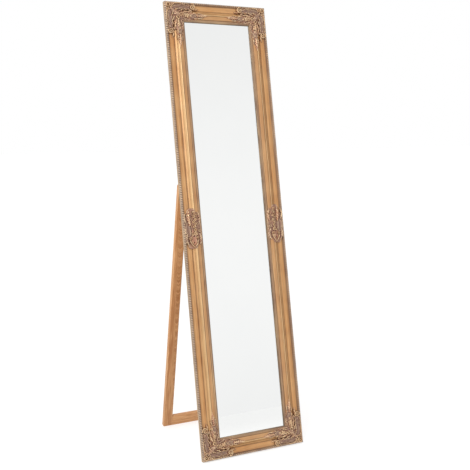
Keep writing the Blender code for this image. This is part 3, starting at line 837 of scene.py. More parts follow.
def measure(field, path):
    # distance to the path, how far along it (0 to 1), and which side of it
    lengths = np.concatenate([[0], np.cumsum(np.linalg.norm(np.diff(path, axis=0), axis=1))])
    nearest = np.full(field["p"].shape, 1e9)
    share = np.zeros_like(nearest)
    side = np.zeros_like(nearest)
    for i in range(len(path) - 1):
        a, run = path[i], path[i + 1] - path[i]
        dp, dq = field["p"] - a[0], field["q"] - a[1]
        t = np.clip((dp * run[0] + dq * run[1]) / (run @ run), 0, 1)
        gap = (dp - t * run[0]) ** 2 + (dq - t * run[1]) ** 2
        closer = gap < nearest
        nearest = np.where(closer, gap, nearest)
        share = np.where(closer, (lengths[i] + t * (lengths[i + 1] - lengths[i])) / lengths[-1], share)
        side = np.where(closer, np.sign(run[0] * dq - run[1] * dp), side)
    return np.sqrt(nearest), share, side


def lay(field, height, inside, wash=0.0, tone=0.0, groove=1.0):
    # a groove is cut around what is added, and then the higher of old and new shows
    sink(field, groove * casting["groove"] * np.exp(-(inside / casting["grooveReach"]) ** 2))
    height = np.where(inside > 0, height, -9.0)
    taller = height > field["relief"]
    field["wash"] = np.where(taller, wash, field["wash"])
    field["tone"] = np.where(taller, tone, field["tone"])
    field["relief"] = np.maximum(field["relief"], height)
    field["inside"] = np.maximum(field["inside"], inside)


def profiled(values, share):
    return np.interp(share, np.linspace(0, 1, len(values)), values)


def addStroke(field, points, widths, heights, wash=0.0, tone=0.0):
    # rounded ridge along a path
    distance, share, _ = measure(field, smoothRun(points, 6))
    width = profiled(widths, share)
    across = np.clip(distance / width, 0, 1)
    lay(field, profiled(heights, share) * np.sqrt(1 - across ** 2), width - distance, wash, tone)


def addScroll(field, centre, radius, turns, start, hand, width, height, wash=0.0, tone=0.0, eye=0.26):
    # spiral ridge that winds into an eye
    angles = np.radians(start) + hand * np.linspace(0, 2 * np.pi * turns, 30)
    reach = radius * np.linspace(1, eye, 30)
    points = np.stack([centre[0] + reach * np.cos(angles), centre[1] + reach * np.sin(angles)], axis=-1)
    around = np.hypot(field["p"] - centre[0], field["q"] - centre[1])
    lay(field, np.full(around.shape, 0.6), radius - around, wash, 1.0)
    distance, share, _ = measure(field, points)
    widths = width * (1 - 0.35 * share)
    across = np.clip(distance / widths, 0, 1)
    lay(field, height * (1 - 0.15 * share) * np.sqrt(1 - across ** 2), widths - distance, wash, tone)
    addKnob(field, centre, radius * eye * 0.95, height * 1.05, wash, tone)


def addKnob(field, centre, radius, height, wash=0.0, tone=0.0):
    distance = np.hypot(field["p"] - centre[0], field["q"] - centre[1])
    dome = height * np.sqrt(1 - np.clip(distance / radius, 0, 1) ** 2)
    lay(field, dome, radius - distance, wash, tone, 0.8)


def sink(field, depth):
    lowered = np.maximum(field["relief"] - depth, 0.0)
    field["relief"] = np.where(field["inside"] > 0, lowered, field["relief"])


def addDimple(field, centre, radius, depth):
    distance = np.hypot(field["p"] - centre[0], field["q"] - centre[1])
    sink(field, depth * np.exp(-(distance / radius) ** 2))


def addPits(field, pitch, depth):
    # rows of small pits in the ground, a little out of step
    p, q = field["p"], field["q"]
    wave = np.sin(2 * np.pi * (p / pitch + 0.13 * np.sin(q / 5.1)))
    wave *= np.sin(2 * np.pi * (q / pitch + 0.1 * np.sin(p / 3.7)))
    sink(field, depth * np.clip(0.5 + wave, 0, 1))


def addLeaf(field, points, widths, heights, lobes=0, notch=0.42, rib=0.6, cup=0.0, flutes=0, wash=0.0,
            tone=0.0, groove=1.0):
    # leaf with a midrib, cut into lobes that point to its tip, or fluted like a shell
    distance, share, side = measure(field, smoothRun(points, 6))
    width = profiled(widths, share)
    across = np.clip(distance / np.maximum(width, 0.1), 0, 1.3)
    depth = np.zeros_like(across)
    if lobes:
        slant = casting["notchSlant"] * np.clip(lobes / 6, 0.5, 1)
        phase = lobes * share - slant * across + 0.23 * side
        saw = phase - np.floor(phase)
        cut = np.clip((0.32 - saw) / 0.32, 0, 1) + np.clip((saw - 0.86) / 0.14, 0, 1)
        width = width * (1 - notch * cut * (across > 0.25))
        veins = 0.5 + 0.5 * np.cos(6 * np.pi * phase)
        depth = (casting["notchDepth"] * cut + casting["veinDepth"] * veins) * np.clip(across * 2, 0, 1)
    if flutes:
        ripple = 0.5 + 0.5 * np.cos(2 * np.pi * flutes * across * side)
        depth = depth + casting["fluteDepth"] * ripple
    across = np.clip(distance / np.maximum(width, 0.1), 0, 1)
    height = profiled(heights, share)
    body = height * (1 - across ** 2.6) ** 0.6 - depth * np.clip(height / 3, 0.3, 1.3)
    body = body - cup * np.exp(-(across / casting["cupReach"]) ** 2) * (across < 1)
    body = body + rib * np.exp(-(distance / casting["ribReach"]) ** 2)
    lay(field, np.maximum(body, 0.15), width - distance, wash, tone, groove)


def addFlower(field, centre, radius, petals, height, turn=0.0, wash=0.0, tone=0.0):
    # petals around a sunken eye
    for i in range(petals):
        angle = turn + 2 * np.pi * i / petals
        spot = (centre[0] + 0.62 * radius * math.cos(angle), centre[1] + 0.62 * radius * math.sin(angle))
        addKnob(field, spot, radius * 0.38, height * (1 - 0.12 * (i % 2)), wash, tone)
    addDimple(field, centre, radius * 0.34, height)
    addKnob(field, centre, radius * 0.17, height * 0.7, wash, tone)


def carveCornerArm(field):
    # p is in from the outer side, q is along from the corner, both in mm
    addLeaf(field, [(14, 10), (17, 40), (17, 72), (17, 104)], (12, 15.5, 13, 9), (1.3, 1.3, 1.3, 1.0),
            lobes=10, notch=0.12, rib=0, groove=0, wash=0.36, tone=0.6)
    addLeaf(field, [(42, 42), (48, 74), (48.5, 104), (47, 132), (46, 152)], (20, 18.5, 14, 9, 3.5),
            (1.2, 1.2, 1.1, 0.9, 0.6), lobes=12, notch=0.16, rib=0, groove=0, wash=0.32, tone=0.6)
    addPits(field, 3.4, 0.9)
    # cupped body in the scoop, with fingers of leaf lying over it
    addLeaf(field, [(23, 24), (18.5, 42), (17.0, 64), (18.5, 92)], (5.5, 10.0, 10.5, 6.5),
            (2.8, 5.2, 5.2, 3.2), cup=2.6, flutes=2.5, rib=0, wash=1.0)
    addLeaf(field, [(31, 34), (27, 44), (20.5, 51)], (2.4, 3.6, 0.8), (4.0, 5.4, 3.2), lobes=3, notch=0.35,
            wash=0.2)
    addLeaf(field, [(32, 54), (27.5, 64), (21.5, 72)], (2.4, 3.4, 0.8), (4.0, 5.2, 3.2), lobes=3,
            notch=0.35, wash=0.3)
    addLeaf(field, [(30, 72), (27, 81), (22, 88)], (1.8, 2.8, 0.8), (3.6, 4.6, 3.0), lobes=2, notch=0.35,
            tone=0.6)
    addStroke(field, [(9.6, 26), (5.6, 38), (4.4, 54), (5.4, 70)], (0.8, 1.6, 1.9, 1.1),
            (2.0, 2.8, 3.0, 2.0), wash=0.1)
    addStroke(field, [(6.6, 72), (5.8, 82), (7.4, 92), (11.0, 99)], (0.9, 1.5, 1.6, 1.2),
            (2.2, 3.0, 3.4, 3.4), wash=0.5)
    addStroke(field, [(10.5, 31), (9.4, 42), (9.4, 54)], (0.7, 1.2, 0.6), (2.4, 3.8, 2.6), wash=0.6)
    for q, wash in ((60, 0.3), (65.5, 0.7), (71, 0.2), (76.5, 0.6), (82, 0.3)):
        addKnob(field, (10.4 + 0.05 * (q - 60), q), 2.0, 4.4, wash)
    # volute at the arm's end, a counter curl beside it and a leaf running out
    addLeaf(field, [(20, 103), (24.5, 113), (24.0, 122), (20.5, 129)], (3.4, 5.0, 3.6, 0.7),
            (4.0, 4.4, 3.2, 1.2), lobes=4, notch=0.4, wash=0.2, tone=0.5)
    addScroll(field, (16.2, 104.0), 10.4, 1.5, 195, -1, 2.9, 6.0)
    addScroll(field, (30.6, 97.0), 6.2, 1.35, 160, 1, 2.0, 4.6, wash=0.35, tone=0.5)
    # flower and leaf spray along the inner bead
    addLeaf(field, [(45, 66), (48.0, 80), (50.5, 97)], (5, 9.0, 3.0), (3.0, 4.4, 2.8), lobes=4, notch=0.45,
            rib=1.1, cup=0.8, wash=0.12)
    addLeaf(field, [(39, 66), (34.4, 78), (34.2, 90), (38.5, 100)], (3, 5.2, 4.2, 0.9),
            (3.4, 4.4, 3.6, 1.8), lobes=4, wash=0.15, tone=0.4)
    addLeaf(field, [(57, 64), (62.0, 78), (62.6, 90), (59.5, 101)], (2.6, 4.4, 3.8, 0.9),
            (2.8, 3.8, 3.2, 1.6), lobes=4, wash=0.45, tone=0.3)
    addLeaf(field, [(50, 93), (50.0, 106), (48.5, 124)], (5.0, 9.4, 5.0), (2.6, 4.2, 3.0), cup=2.0,
            flutes=2, rib=0, wash=1.0)
    addScroll(field, (40.0, 107.0), 4.8, 1.25, 60, 1, 1.7, 4.2, wash=0.1)
    addScroll(field, (59.0, 111.0), 4.2, 1.25, 120, -1, 1.6, 3.6, wash=0.3, tone=0.5)
    addLeaf(field, [(44, 118), (39.8, 126), (39.6, 134), (42.5, 142)], (2.2, 3.4, 2.8, 0.8),
            (2.8, 3.4, 2.8, 1.2), lobes=3, notch=0.4, wash=0.1)
    addLeaf(field, [(52, 118), (56.4, 127), (56.0, 137), (52.5, 144)], (2.0, 3.2, 2.6, 0.8),
            (2.6, 3.2, 2.6, 1.2), lobes=3, notch=0.4, wash=0.4)
    addLeaf(field, [(48.5, 119), (48.2, 134), (47.0, 149), (46, 165)], (4.0, 7.0, 5.0, 0.7),
            (3.8, 5.0, 4.0, 1.4), lobes=6, rib=1.2, cup=0.4, wash=0.22, tone=1.0)
    for i in range(10):
        addKnob(field, (64.2 - 0.25 * max(i - 5, 0), 64.0 + 5.4 * i), 2.7 - 0.1 * i, 3.4,
                0.25 + 0.4 * (i % 2), 0.6)
    addFlower(field, (45.5, 57.0), 8.4, 6, 5.2, 0.4)
    # curls at the very corner
    addScroll(field, (25.0, 10.6), 5.2, 1.3, 20, 1, 1.7, 4.0, wash=0.2)
    addKnob(field, (33.0, 8.4), 2.4, 3.4, 0.1)
    addKnob(field, (27.5, 19.0), 2.6, 4.0, 0.1)
    for hole in ((48.5, 71.0), (36.5, 84.0), (60.0, 84.0), (50.5, 89.0), (45.5, 103.0), (54.0, 122.0),
                 (44.0, 123.0)):
        addDimple(field, hole, 1.7, 4.5)


def carveMitre(field):
    addLeaf(field, [(65, 65), (52, 52), (37, 37), (20, 20)], (3.5, 8.0, 10.5, 3.0), (2.4, 4.0, 4.8, 3.6),
            lobes=6, rib=0.5, cup=0.9, wash=0.42, tone=0.45)
    for spot in ((56, 50), (50, 56), (40, 27), (27, 40)):
        addKnob(field, spot, 2.8, 5.2, 0.15)
    # round boss at the corner: a ring about a bead
    boss, ringRadius, ringWidth, tall = (12.0, 12.0), 6.4, 1.9, 4.6
    addKnob(field, boss, 8.6, 0.8, tone=1.0)
    fromRing = np.abs(np.hypot(field["p"] - boss[0], field["q"] - boss[1]) - ringRadius)
    across = np.clip(fromRing / ringWidth, 0, 1)
    lay(field, tall * np.sqrt(1 - across ** 2), ringWidth - fromRing)
    addKnob(field, boss, 2.9, tall)


def carveSide(field):
    # p is in from the outer side, q is up from the middle of the stile, both in mm
    addLeaf(field, [(33, -55), (34, -24), (34, 20), (33, 56)], (21, 33, 33, 18), (1.6, 1.9, 1.9, 1.5),
            lobes=11, notch=0.16, rib=0, groove=0, wash=0.42, tone=0.7)
    addPits(field, 3.4, 0.9)
    # cupped body on the outer side
    addLeaf(field, [(21, 18), (16.5, 4), (17.0, -12), (23, -31)], (6, 11.5, 12.5, 5), (3.2, 5.4, 5.6, 3.4),
            cup=2.8, flutes=2.5, rib=0, wash=1.0)
    addLeaf(field, [(11, 16), (6.8, 28), (6.0, 42), (10, 60)], (2.6, 4.6, 4.2, 0.7), (3.4, 3.6, 3.2, 1.2),
            lobes=5, notch=0.4, wash=0.8)
    addLeaf(field, [(25, 12), (22.5, 26), (22.0, 42), (25, 65)], (4.6, 6.8, 5.6, 0.6), (4.0, 5.4, 4.4, 1.4),
            lobes=6, rib=1.2, wash=0.05, tone=1.0)
    addLeaf(field, [(58, 14), (61.6, 28), (60.5, 42), (55, 60)], (3.4, 5.8, 5.0, 0.7), (2.8, 3.8, 3.4, 1.2),
            lobes=5, wash=0.35, tone=0.8)
    # a run of small curls up the middle, and beads between them
    for i, q in enumerate((57, 48.5, 40, 31.5, 23, 14.5, 6)):
        turned = 1 if i % 2 else -1
        addScroll(field, (41.5 + 2.6 * turned, q), 5.0 - 0.2 * abs(i - 3), 1.2, 70 * i, turned, 1.6, 4.6,
                wash=0.12 * (i % 3), tone=0.25 * (i % 2))
        addKnob(field, (51.0 - 2.0 * turned, q - 3.5), 1.9, 4.0, 0.2, 0.7)
        addKnob(field, (33.4 - 1.2 * turned, q - 4.0), 1.8, 4.2, 0.1)
    addFlower(field, (42.0, -5.0), 6.0, 5, 5.4, 0.2)
    addScroll(field, (44.0, -18.5), 6.6, 1.4, 100, 1, 2.0, 5.2)
    addScroll(field, (57.5, -8.0), 5.0, 1.25, 300, -1, 1.7, 3.8, wash=0.5, tone=0.4)
    addScroll(field, (32.5, -21.0), 4.6, 1.2, 40, -1, 1.7, 4.6, wash=0.2)
    # lower end: two side leaves and a pointed shell between rolled edges
    addLeaf(field, [(12, -20), (9.0, -33), (10.5, -46), (17, -59)], (3, 6.0, 6.4, 1.0),
            (3.2, 4.4, 4.4, 2.0), lobes=5, notch=0.36, wash=0.55, tone=0.7)
    addLeaf(field, [(58, -20), (62.0, -33), (61, -46), (55, -59)], (3, 5.8, 6.2, 1.0), (2.6, 3.8, 3.8, 2.0),
            lobes=5, notch=0.36, wash=0.5, tone=0.8)
    addLeaf(field, [(35, -28), (35, -44), (36, -67)], (9, 12.5, 1.2), (3.6, 5.0, 3.2), cup=2.6, flutes=2,
            rib=0.9, wash=0.25, tone=0.7)
    addStroke(field, [(21, -34), (22.5, -46), (28, -56), (36, -67)], (1.2, 2.2, 2.3, 1.0),
            (3.6, 5.2, 5.0, 2.8))
    addStroke(field, [(50, -32), (49.5, -45), (44, -56), (36, -67)], (1.2, 2.1, 2.2, 1.0),
            (3.2, 4.6, 4.8, 2.8))
    addScroll(field, (23.0, -36.0), 4.8, 1.2, 0, 1, 1.7, 5.0, tone=0.3)
    addScroll(field, (49.0, -34.0), 4.6, 1.2, 180, -1, 1.6, 4.4, tone=0.3)
    for hole in ((50, 38), (33, 28), (23, 52), (51, 2), (37, -28), (28, -12), (60, 36), (35, -50)):
        addDimple(field, hole, 1.7, 4.5)


def blurred(grid, reach):
    # separable bell-shaped blur; reach is in grid steps
    span = int(3 * reach) + 1
    weights = np.exp(-0.5 * (np.arange(-span, span + 1) / reach) ** 2)
    weights /= weights.sum()
    padded = np.pad(grid, span, mode="edge")
    rows = sum(w * padded[i:i + grid.shape[0], :] for i, w in enumerate(weights))
    return sum(w * rows[:, i:i + grid.shape[1]] for i, w in enumerate(weights))


def castingShape(field, inset):
    # heights of the casting's face and back, and its crests, from the carved field
    low, high = casting["margins"]
    inside = np.minimum(field["inside"], np.minimum(inset - low, high - inset))
    relief = blurred(np.maximum(field["relief"], 0.0), casting["softness"])
    bed = smoothRun(casting["bed"], 4)
    bedHeight = np.interp(inset, bed[:, 0], bed[:, 1])
    face = faceHeight(inset)
    share = np.clip(inside / casting["bedRun"], 0, 1)
    share = share * share * (3 - 2 * share)
    top = face + share * (bedHeight - face) + relief * np.clip(inside / 0.8, 0, 1)
    top = top + 0.35 * np.clip(inside, 0, 1) + np.minimum(inside, 0) * casting["rimSlope"]
    top = np.minimum(blurred(top, casting["softness"]), casting["tallest"] + 0.2 * inset)
    reach = casting["crestReach"] / casting["gridStep"]
    # crests get the painted highlight; within 1.6 mm of the rim the value counts as hollow, so the rim is darker
    crest = 0.5 + 0.5 * np.clip((top - blurred(top, reach)) / casting["crestHeight"], -1, 1)
    crest = crest - 0.45 * np.clip(1 - inside / 1.6, 0, 1)
    under = np.minimum(face - casting["thickness"], top - 0.3)
    return inside, top, under, crest


def castingMesh(field, inset):
    inside, top, under, crest = castingShape(field, inset)
    kept = inside > -0.9
    cells = kept[:-1, :-1] & kept[1:, :-1] & kept[:-1, 1:] & kept[1:, 1:]
    used = np.zeros(kept.shape, bool)
    for dp in (0, 1):
        for dq in (0, 1):
            used[dp:used.shape[0] - 1 + dp, dq:used.shape[1] - 1 + dq] |= cells
    number = np.full(used.shape, -1)
    number[used] = np.arange(used.sum())
    count = int(used.sum())
    i, j = np.nonzero(cells)
    topFaces = np.stack([number[i, j], number[i + 1, j], number[i + 1, j + 1], number[i, j + 1]], axis=-1)
    edges = np.concatenate([topFaces[:, [k, (k + 1) % 4]] for k in range(4)])
    codes = edges[:, 0] * count + edges[:, 1]
    lonely = ~np.isin(codes, edges[:, 1] * count + edges[:, 0])
    rim = edges[lonely]
    walls = np.stack([rim[:, 1], rim[:, 0], rim[:, 0] + count, rim[:, 1] + count], axis=-1)
    faces = np.concatenate([topFaces, topFaces[:, ::-1] + count, walls]).tolist()
    p, q = np.tile(field["p"][used], 2), np.tile(field["q"][used], 2)
    height = np.concatenate([top[used], under[used]])
    attributes = {"crest": np.tile(crest[used], 2), "wash": np.tile(field["wash"][used], 2),
                  "tone": np.tile(field["tone"][used], 2)}
    return q, p, height, faces, attributes


def placeCasting(node, side, shape, level, material):
    p, height, faces, attributes = shape
    verts = np.stack([side * (frameWidth / 2 - p * mm), -height * mm, level], axis=-1)
    makePiece(node + "_carved", verts, faces, mirrorSpace, material, "mirror", [node],
              attributes, sharp=75)


def makeCornerCastings(material):
    reach = np.arange(0, casting["cornerReach"], casting["gridStep"])
    field = newField(reach, reach)
    carveCornerArm(field)
    # the other arm is this one mirrored; the higher of the two shows where they meet
    other = {key: grid.T for key, grid in field.items()}
    for key in ("wash", "tone"):
        field[key] = np.where(field["relief"] >= other["relief"], field[key], other[key])
    for key in ("relief", "inside"):
        field[key] = np.maximum(field[key], other[key])
    carveMitre(field)
    q, *shape = castingMesh(field, np.minimum(field["p"], field["q"]))
    for sideName, side in sides.items():
        for endName, end in ends.items():
            level = frameHeight - q * mm if end else q * mm
            placeCasting(f"corner_ornament_{endName}_{sideName}", side, shape, level, material)


def makeSideCastings(material):
    reach, step = casting["sideReach"], casting["gridStep"]
    field = newField(np.arange(0, mouldingWidth / mm, step), np.arange(-reach, reach + 0.1, step))
    carveSide(field)
    q, *shape = castingMesh(field, field["p"])
    for sideName, side in sides.items():
        placeCasting(f"side_ornament_{sideName}", side, shape, frameHeight / 2 + q * mm, material)


# ---- easel

easel = {
    "ease": 1.3,                  # mm taken off the edges
    "easeSteps": 3,
    "head": 5.0,                  # mm under the pins' line, from where a leg's head is bevelled
    "firstSeed": 0.37,            # each piece is cut from another place in the grain
    "seedStep": 0.53,
}


def makeSockets():
    # sockets for the dowels and holes for the screws, cut out of the easel's wood
    bm = bmesh.new()
    for node in frame["nodes"]:
        if "dowel" in node:
            addHole(bm, *nodeBox(node, easelSpace), 0)
        if "leg_screw" in node:
            addHole(bm, *nodeBox(node, easelSpace), 1)
    return fromBmesh(bm, "sockets", easelSpace)


def woodBlock(node, outline, span, grainOrder, seed, material, sockets):
    # prism along X (span) from an outline in Y and Z, with eased edges
    bm = bmesh.new()
    addPrism(bm, [(span[0], y, z) for y, z in outline], (span[1] - span[0], 0, 0))
    bmesh.ops.recalc_face_normals(bm, faces=bm.faces)
    bmesh.ops.bevel(bm, geom=list(bm.edges), offset=easel["ease"] * mm, segments=easel["easeSteps"],
                    profile=0.5, affect='EDGES', clamp_overlap=True)
    verts, faces = takeBmesh(bm)
    grain = verts[:, grainOrder] + np.array([seed, seed * 0.7, seed * 1.3])
    block = makePiece(node + "_eased", verts, faces, easelSpace, material, "easel", [node],
                      {"grain": grain}, sharp=30)
    combine(block, sockets, keep=True)


def legOutline(node, low, high):
    # the leg's side view, from the CAD leg: square at the foot and bevelled at the head
    back = easelSpace.inverted()
    spots = [back @ vert.co for vert in frame["nodes"][node].data.vertices]
    front, rear = low[1], high[1]
    headSpots = [spot for spot in spots if spot.z > -easel["head"] * mm]
    bevelTop = min(spot.y for spot in headSpots if spot.z > high[2] - 0.1 * mm)
    bevelStart = max(spot.z for spot in headSpots if spot.y < front + 0.1 * mm)
    return [(front, low[2]), (rear, low[2]), (rear, high[2]), (bevelTop, high[2]), (front, bevelStart)]


def railOutline(node, low, high):
    return [(low[1], low[2]), (high[1], low[2]), (high[1], high[2]), (low[1], high[2])]


def makeEasel(material):
    sockets = makeSockets()
    upright, level = [0, 1, 2], [2, 1, 0]         # grain runs along Z or along X
    pieces = {"easel_left_leg": (legOutline, upright), "easel_right_leg": (legOutline, upright),
              "easel_top_rail": (railOutline, level), "easel_crossbar": (railOutline, level)}
    for i, (node, (outlineOf, grainOrder)) in enumerate(pieces.items()):
        low, high = nodeBox(node, easelSpace)
        seed = easel["firstSeed"] + easel["seedStep"] * i
        woodBlock(node, outlineOf(node, low, high), (low[0], high[0]), grainOrder, seed, material, sockets)
    bpy.data.objects.remove(sockets)


# ---- hinges, screws and glazing points

hinge = {
    "leafWidth": 30.0,
    "leafThickness": 1.6,
    "leafLength": 22.0,           # from the pin's line to the far end
    "leafCorner": 2.6,
    "knuckle": 2.45,
    "knuckleLift": 2.5,           # of the pin's line over the leaf's back
    "bore": 1.5,
    "middleKnuckle": 12.0,
    "setback": 3.0,               # of the leaf's end between the knuckles
    "play": 0.3,
    "screwPlaces": [(-9.0, -9.0), (9.0, -9.0), (0.0, -17.0)],
    "screwHole": 1.5,
    "countersink": 2.95,
    "edge": 0.16,
    "facets": 40,
    "sinkFacets": 28,
}

hingePin = {
    "end": [(0.4, 0.0), (1.2, 0.08), (1.75, 0.3), (1.98, 0.65), (1.9, 0.8), (1.2, 0.82)],
    "facets": 28,
}

screw = {
    "head": 2.6,
    "shank": 1.15,
    "tip": 0.12,
    "length": 8.0,
    "pitch": 1.1,
    "thread": 0.34,
    "ringStep": 0.14,
    "recess": (1.55, 0.32, 1.0),  # half length, half width and depth of the cross in the head
    "firstTurn": 0.6,             # of the crosses, each turned a little further than the last
    "nextTurn": 1.1,
    "frameTurn": 0.5,
    "facets": 24,
}


def ringSolid(radius, height, facets):
    # closed solid around Z, with a ring of points for each height
    angles = np.linspace(0, 2 * np.pi, facets, endpoint=False)
    verts = np.stack([radius * np.cos(angles), radius * np.sin(angles), height + 0 * angles], axis=-1)
    return verts.reshape(-1, 3), tubeFaces(len(height), facets)


def turned(profile, facets):
    radius, height = np.array(profile, float).T[:, :, None]
    return ringSolid(radius, height, facets)


def shapeFrom(verts, faces):
    return addToScene("shape", meshFrom("shape", verts, faces))


def prismShape(outline, start, stop):
    # outline in X and Z, running from start to stop in Y
    count = len(outline)
    verts = [(x, start, z) for x, z in outline] + [(x, stop, z) for x, z in outline]
    faces = [list(range(count)), list(range(2 * count - 1, count - 1, -1))]
    faces += [[i, (i + 1) % count, count + (i + 1) % count, count + i] for i in range(count)]
    return shapeFrom(verts, faces)


def rodShape(radius, start, stop, lift):
    # round rod along X, lifted in Y
    verts, faces = turned([(radius, start), (radius, stop)], hinge["facets"])
    return shapeFrom(verts[:, [2, 0, 1]] + np.array([0, lift, 0]), faces)


def takeShape(loose):
    verts = np.array([vert.co[:] for vert in loose.data.vertices])
    faces = [list(face.vertices) for face in loose.data.polygons]
    bpy.data.objects.remove(loose)
    return verts, faces


def leafShape(hasOuterKnuckles):
    # X along the pin, Y away from the wood, Z from the pin's line; in mm
    half, corner, thick = hinge["leafWidth"] / 2, hinge["leafCorner"], hinge["leafThickness"]
    turns = np.radians(np.linspace(0, 90, 7))
    low = -hinge["leafLength"] + corner
    outline = [(half - corner + corner * math.cos(t), low - corner * math.sin(t)) for t in turns]
    outline += [(-half + corner - corner * math.cos(t), low - corner * math.sin(t)) for t in turns[::-1]]
    leaf = prismShape([(half, 0.0)] + outline + [(-half, 0.0)], 0.0, thick)
    combine(leaf, rodShape(hinge["knuckle"], -half, half, hinge["knuckleLift"]), 'UNION')

    knuckle, setback, past = hinge["middleKnuckle"] / 2, hinge["setback"], half + 1
    gap = knuckle + hinge["play"]
    for start, stop in [(-gap, gap)] if hasOuterKnuckles else [(-past, -knuckle), (knuckle, past)]:
        outline = [(start, -setback), (stop, -setback), (stop, setback), (start, setback)]
        combine(leaf, prismShape(outline, -1.0, 8.0))
    combine(leaf, rodShape(hinge["bore"], -half - 2, half + 2, hinge["knuckleLift"]))
    hole, wide = hinge["screwHole"], hinge["countersink"]
    for x, z in hinge["screwPlaces"]:
        sink = [(hole, -0.5), (hole, thick - wide + hole), (wide, thick), (wide, thick + 1)]
        verts, faces = turned(sink, hinge["sinkFacets"])
        combine(leaf, shapeFrom(verts[:, [0, 2, 1]] + np.array([x, 0, z]), faces))
    rounding = leaf.modifiers.new("edges", 'BEVEL')
    rounding.width = hinge["edge"]
    rounding.segments = 2
    rounding.limit_method = 'ANGLE'
    rounding.angle_limit = math.radians(50)
    applyModifiers(leaf)
    return takeShape(leaf)


def screwShape():
    # head's face at 0, point up Z; in mm
    head, shank, length = screw["head"], screw["shank"], screw["length"]
    neck = 0.2 + head - shank
    outline = np.array([(0.0, head - 0.12), (0.08, head), (0.22, head), (neck, shank), (length - 1.6, shank),
                        (length - 0.3, 0.45), (length, screw["tip"])])
    rings = np.arange(neck + 0.2, length - 0.9, screw["ringStep"])
    depth = np.concatenate([outline[:4, 0], rings, outline[-2:, 0]])[:, None]
    base = np.interp(depth, outline[:, 0], outline[:, 1])
    angles = np.linspace(0, 2 * np.pi, screw["facets"], endpoint=False)
    wave = 0.5 - 0.5 * np.cos(2 * np.pi * depth / screw["pitch"] - angles)
    threaded = (depth > neck + 0.4) & (depth < length - 0.35)
    radius = base - np.minimum(screw["thread"], 0.5 * base) * wave ** 0.7 * threaded
    body = shapeFrom(*ringSolid(radius, depth, screw["facets"]))
    long, wide, deep = screw["recess"]
    arm = [(long, -wide), (long, wide), (wide, wide)]
    quarterTurns = [(1, 0), (0, 1), (-1, 0), (0, -1)]
    cross = [(x * c - z * s, x * s + z * c) for c, s in quarterTurns for x, z in arm]
    recess = prismShape(cross, -1.0, deep)
    recess.data.transform(Matrix.Rotation(math.radians(90), 4, 'X') @ Matrix.Scale(-1, 4, (0, 1, 0)))
    combine(body, recess)
    return takeShape(body)


def makeHinges(material):
    def fit(node, origin, verts, faces, space, body, sharp=35):
        makePiece(node + "_shaped", np.array(origin) + verts * mm, faces, space, material, body,
                  [node], sharp=sharp)

    # the frame's leaf faces backwards and the easel's leaf forwards
    kinds = {"frame": (mirrorSpace, "mirror", 1, leafShape(True)),
             "leg": (easelSpace, "easel", -1, leafShape(False))}
    screwVerts, screwFaces = screwShape()
    for sideName in sides:
        for kind, (space, body, facing, (verts, faces)) in kinds.items():
            node = f"{sideName}_hinge_{kind}_leaf"
            low, high = nodeBox(node, space)
            wood = low[1] if facing > 0 else high[1]
            origin = [(low[0] + high[0]) / 2, wood, low[2] + hinge["leafLength"] * mm]
            fit(node, origin, verts * (1, facing, 1), faces, space, body)
            for i in range(len(hinge["screwPlaces"])):
                node = f"{sideName}_hinge_{kind}_screw_{i + 1}"
                low, high = nodeBox(node, space)
                turn = screw["firstTurn"] + screw["nextTurn"] * i + screw["frameTurn"] * (facing > 0)
                spin = np.array(Matrix.Rotation(turn, 3, 'Z'))
                shape = (screwVerts @ spin.T)[:, [0, 2, 1]] * (1, -facing, 1)
                top = high[1] if facing > 0 else low[1]
                origin = [(low[0] + high[0]) / 2, top, (low[2] + high[2]) / 2]
                fit(node, origin, shape, screwFaces, space, body)
        node = f"{sideName}_hinge_pin"
        low, high = nodeBox(node, mirrorSpace)
        length = (high[0] - low[0]) / mm
        profile = hingePin["end"] + [(radius, length - height) for radius, height in hingePin["end"][::-1]]
        verts, faces = turned(profile, hingePin["facets"])
        origin = [low[0], (low[1] + high[1]) / 2, (low[2] + high[2]) / 2]
        fit(node, origin, verts[:, [2, 0, 1]], faces, mirrorSpace, "mirror", 40)


glazingPoint = {
    # outline from the point in the wood to the rounded tab, in mm, for the upper half
    "outline": [(0.0, 0.0), (3.0, 2.7), (3.9, 4.1), (11.4, 4.1), (13.1, 3.4), (14.0, 1.7)],
    "length": 14.0,
    "thickness": 0.6,
    "edge": 0.12,
    "rib": ((9.6, 0.55, 0.0), (3.1, 0.45, 0.9)),  # its middle and its half sizes
}


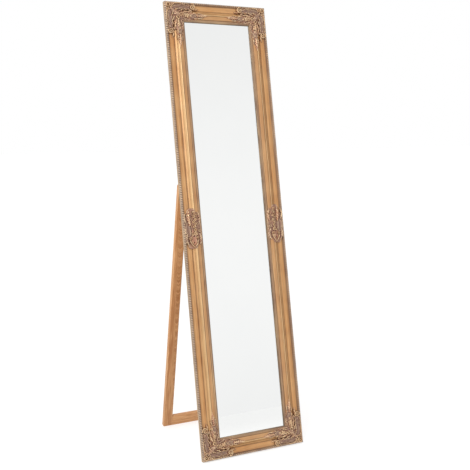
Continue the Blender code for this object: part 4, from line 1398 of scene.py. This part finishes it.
def makeGlazingPoints(material):
    # a pointed tab with rounded free corners and a pressed rib
    bm = bmesh.new()
    half = glazingPoint["outline"]
    outline = half + [(u, -v) for u, v in half[:0:-1]]
    addPrism(bm, [(u, 0.0, v) for u, v in outline], (0, glazingPoint["thickness"], 0))
    bmesh.ops.recalc_face_normals(bm, faces=bm.faces)
    bmesh.ops.bevel(bm, geom=list(bm.edges), offset=glazingPoint["edge"], segments=2, profile=0.5,
                    affect='EDGES', clamp_overlap=True)
    middle, sizes = glazingPoint["rib"]
    bmesh.ops.create_uvsphere(bm, u_segments=20, v_segments=12, radius=1,
                              matrix=Matrix.Translation(middle) @ Matrix.Diagonal((*sizes, 1)))
    verts, faces = takeBmesh(bm)
    for node in frame["nodes"]:
        if not node.startswith("glazing_point"):
            continue
        low, high = nodeBox(node, mirrorSpace)
        pointsOutwards = "left" in node or "bottom" in node
        u = verts[:, 0] if pointsOutwards else glazingPoint["length"] - verts[:, 0]
        if high[0] - low[0] > high[2] - low[2]:
            origin = [low[0], low[1], (low[2] + high[2]) / 2]
            shape = np.stack([u, verts[:, 1], verts[:, 2]], axis=-1)
        else:
            origin = [(low[0] + high[0]) / 2, low[1], low[2]]
            shape = np.stack([verts[:, 2], verts[:, 1], u], axis=-1)
        makePiece(node + "_shaped", np.array(origin) + shape * mm, faces, mirrorSpace, material, "mirror",
                  [node], sharp=35)


# ---- carried-over CAD nodes keep their shape and get their finishes

def refinish(part, material):
    for name, node in frame["nodes"].items():
        if part in name:
            for slot in node.material_slots:
                slot.material = material


def addFloor():
    bm = bmesh.new()
    bmesh.ops.create_grid(bm, x_segments=4, y_segments=4, size=studio["floorSize"] / 2)
    floor = fromBmesh(bm, "floor", Matrix())
    floor.data.materials.append(makeFloorFinish())


steel = makeMetalFinish("plainSteel")
brass = makeMetalFinish("brassHinge")
refinish("mirror_glass", makeMirrorFinish())
refinish("backing_board", makeHardboardFinish())
refinish("v_nail", steel)
refinish("dowel", makeWoodFinish("dowelWood", False))
addFloor()
print("finishes are on the carried-over nodes")
makeBars(makeMouldingFinish(mouldingWidth / mm))
makeBeading(makeBeadingFinish())
print("moulding and beading are made")
castingFinish = makeCastingFinish()
makeCornerCastings(castingFinish)
makeSideCastings(castingFinish)
print("castings are made")
makeEasel(makeWoodFinish("easelWood", True))
print("easel is made")
makeHinges(brass)
makeGlazingPoints(steel)
print("hinges, screws and glazing points are made")
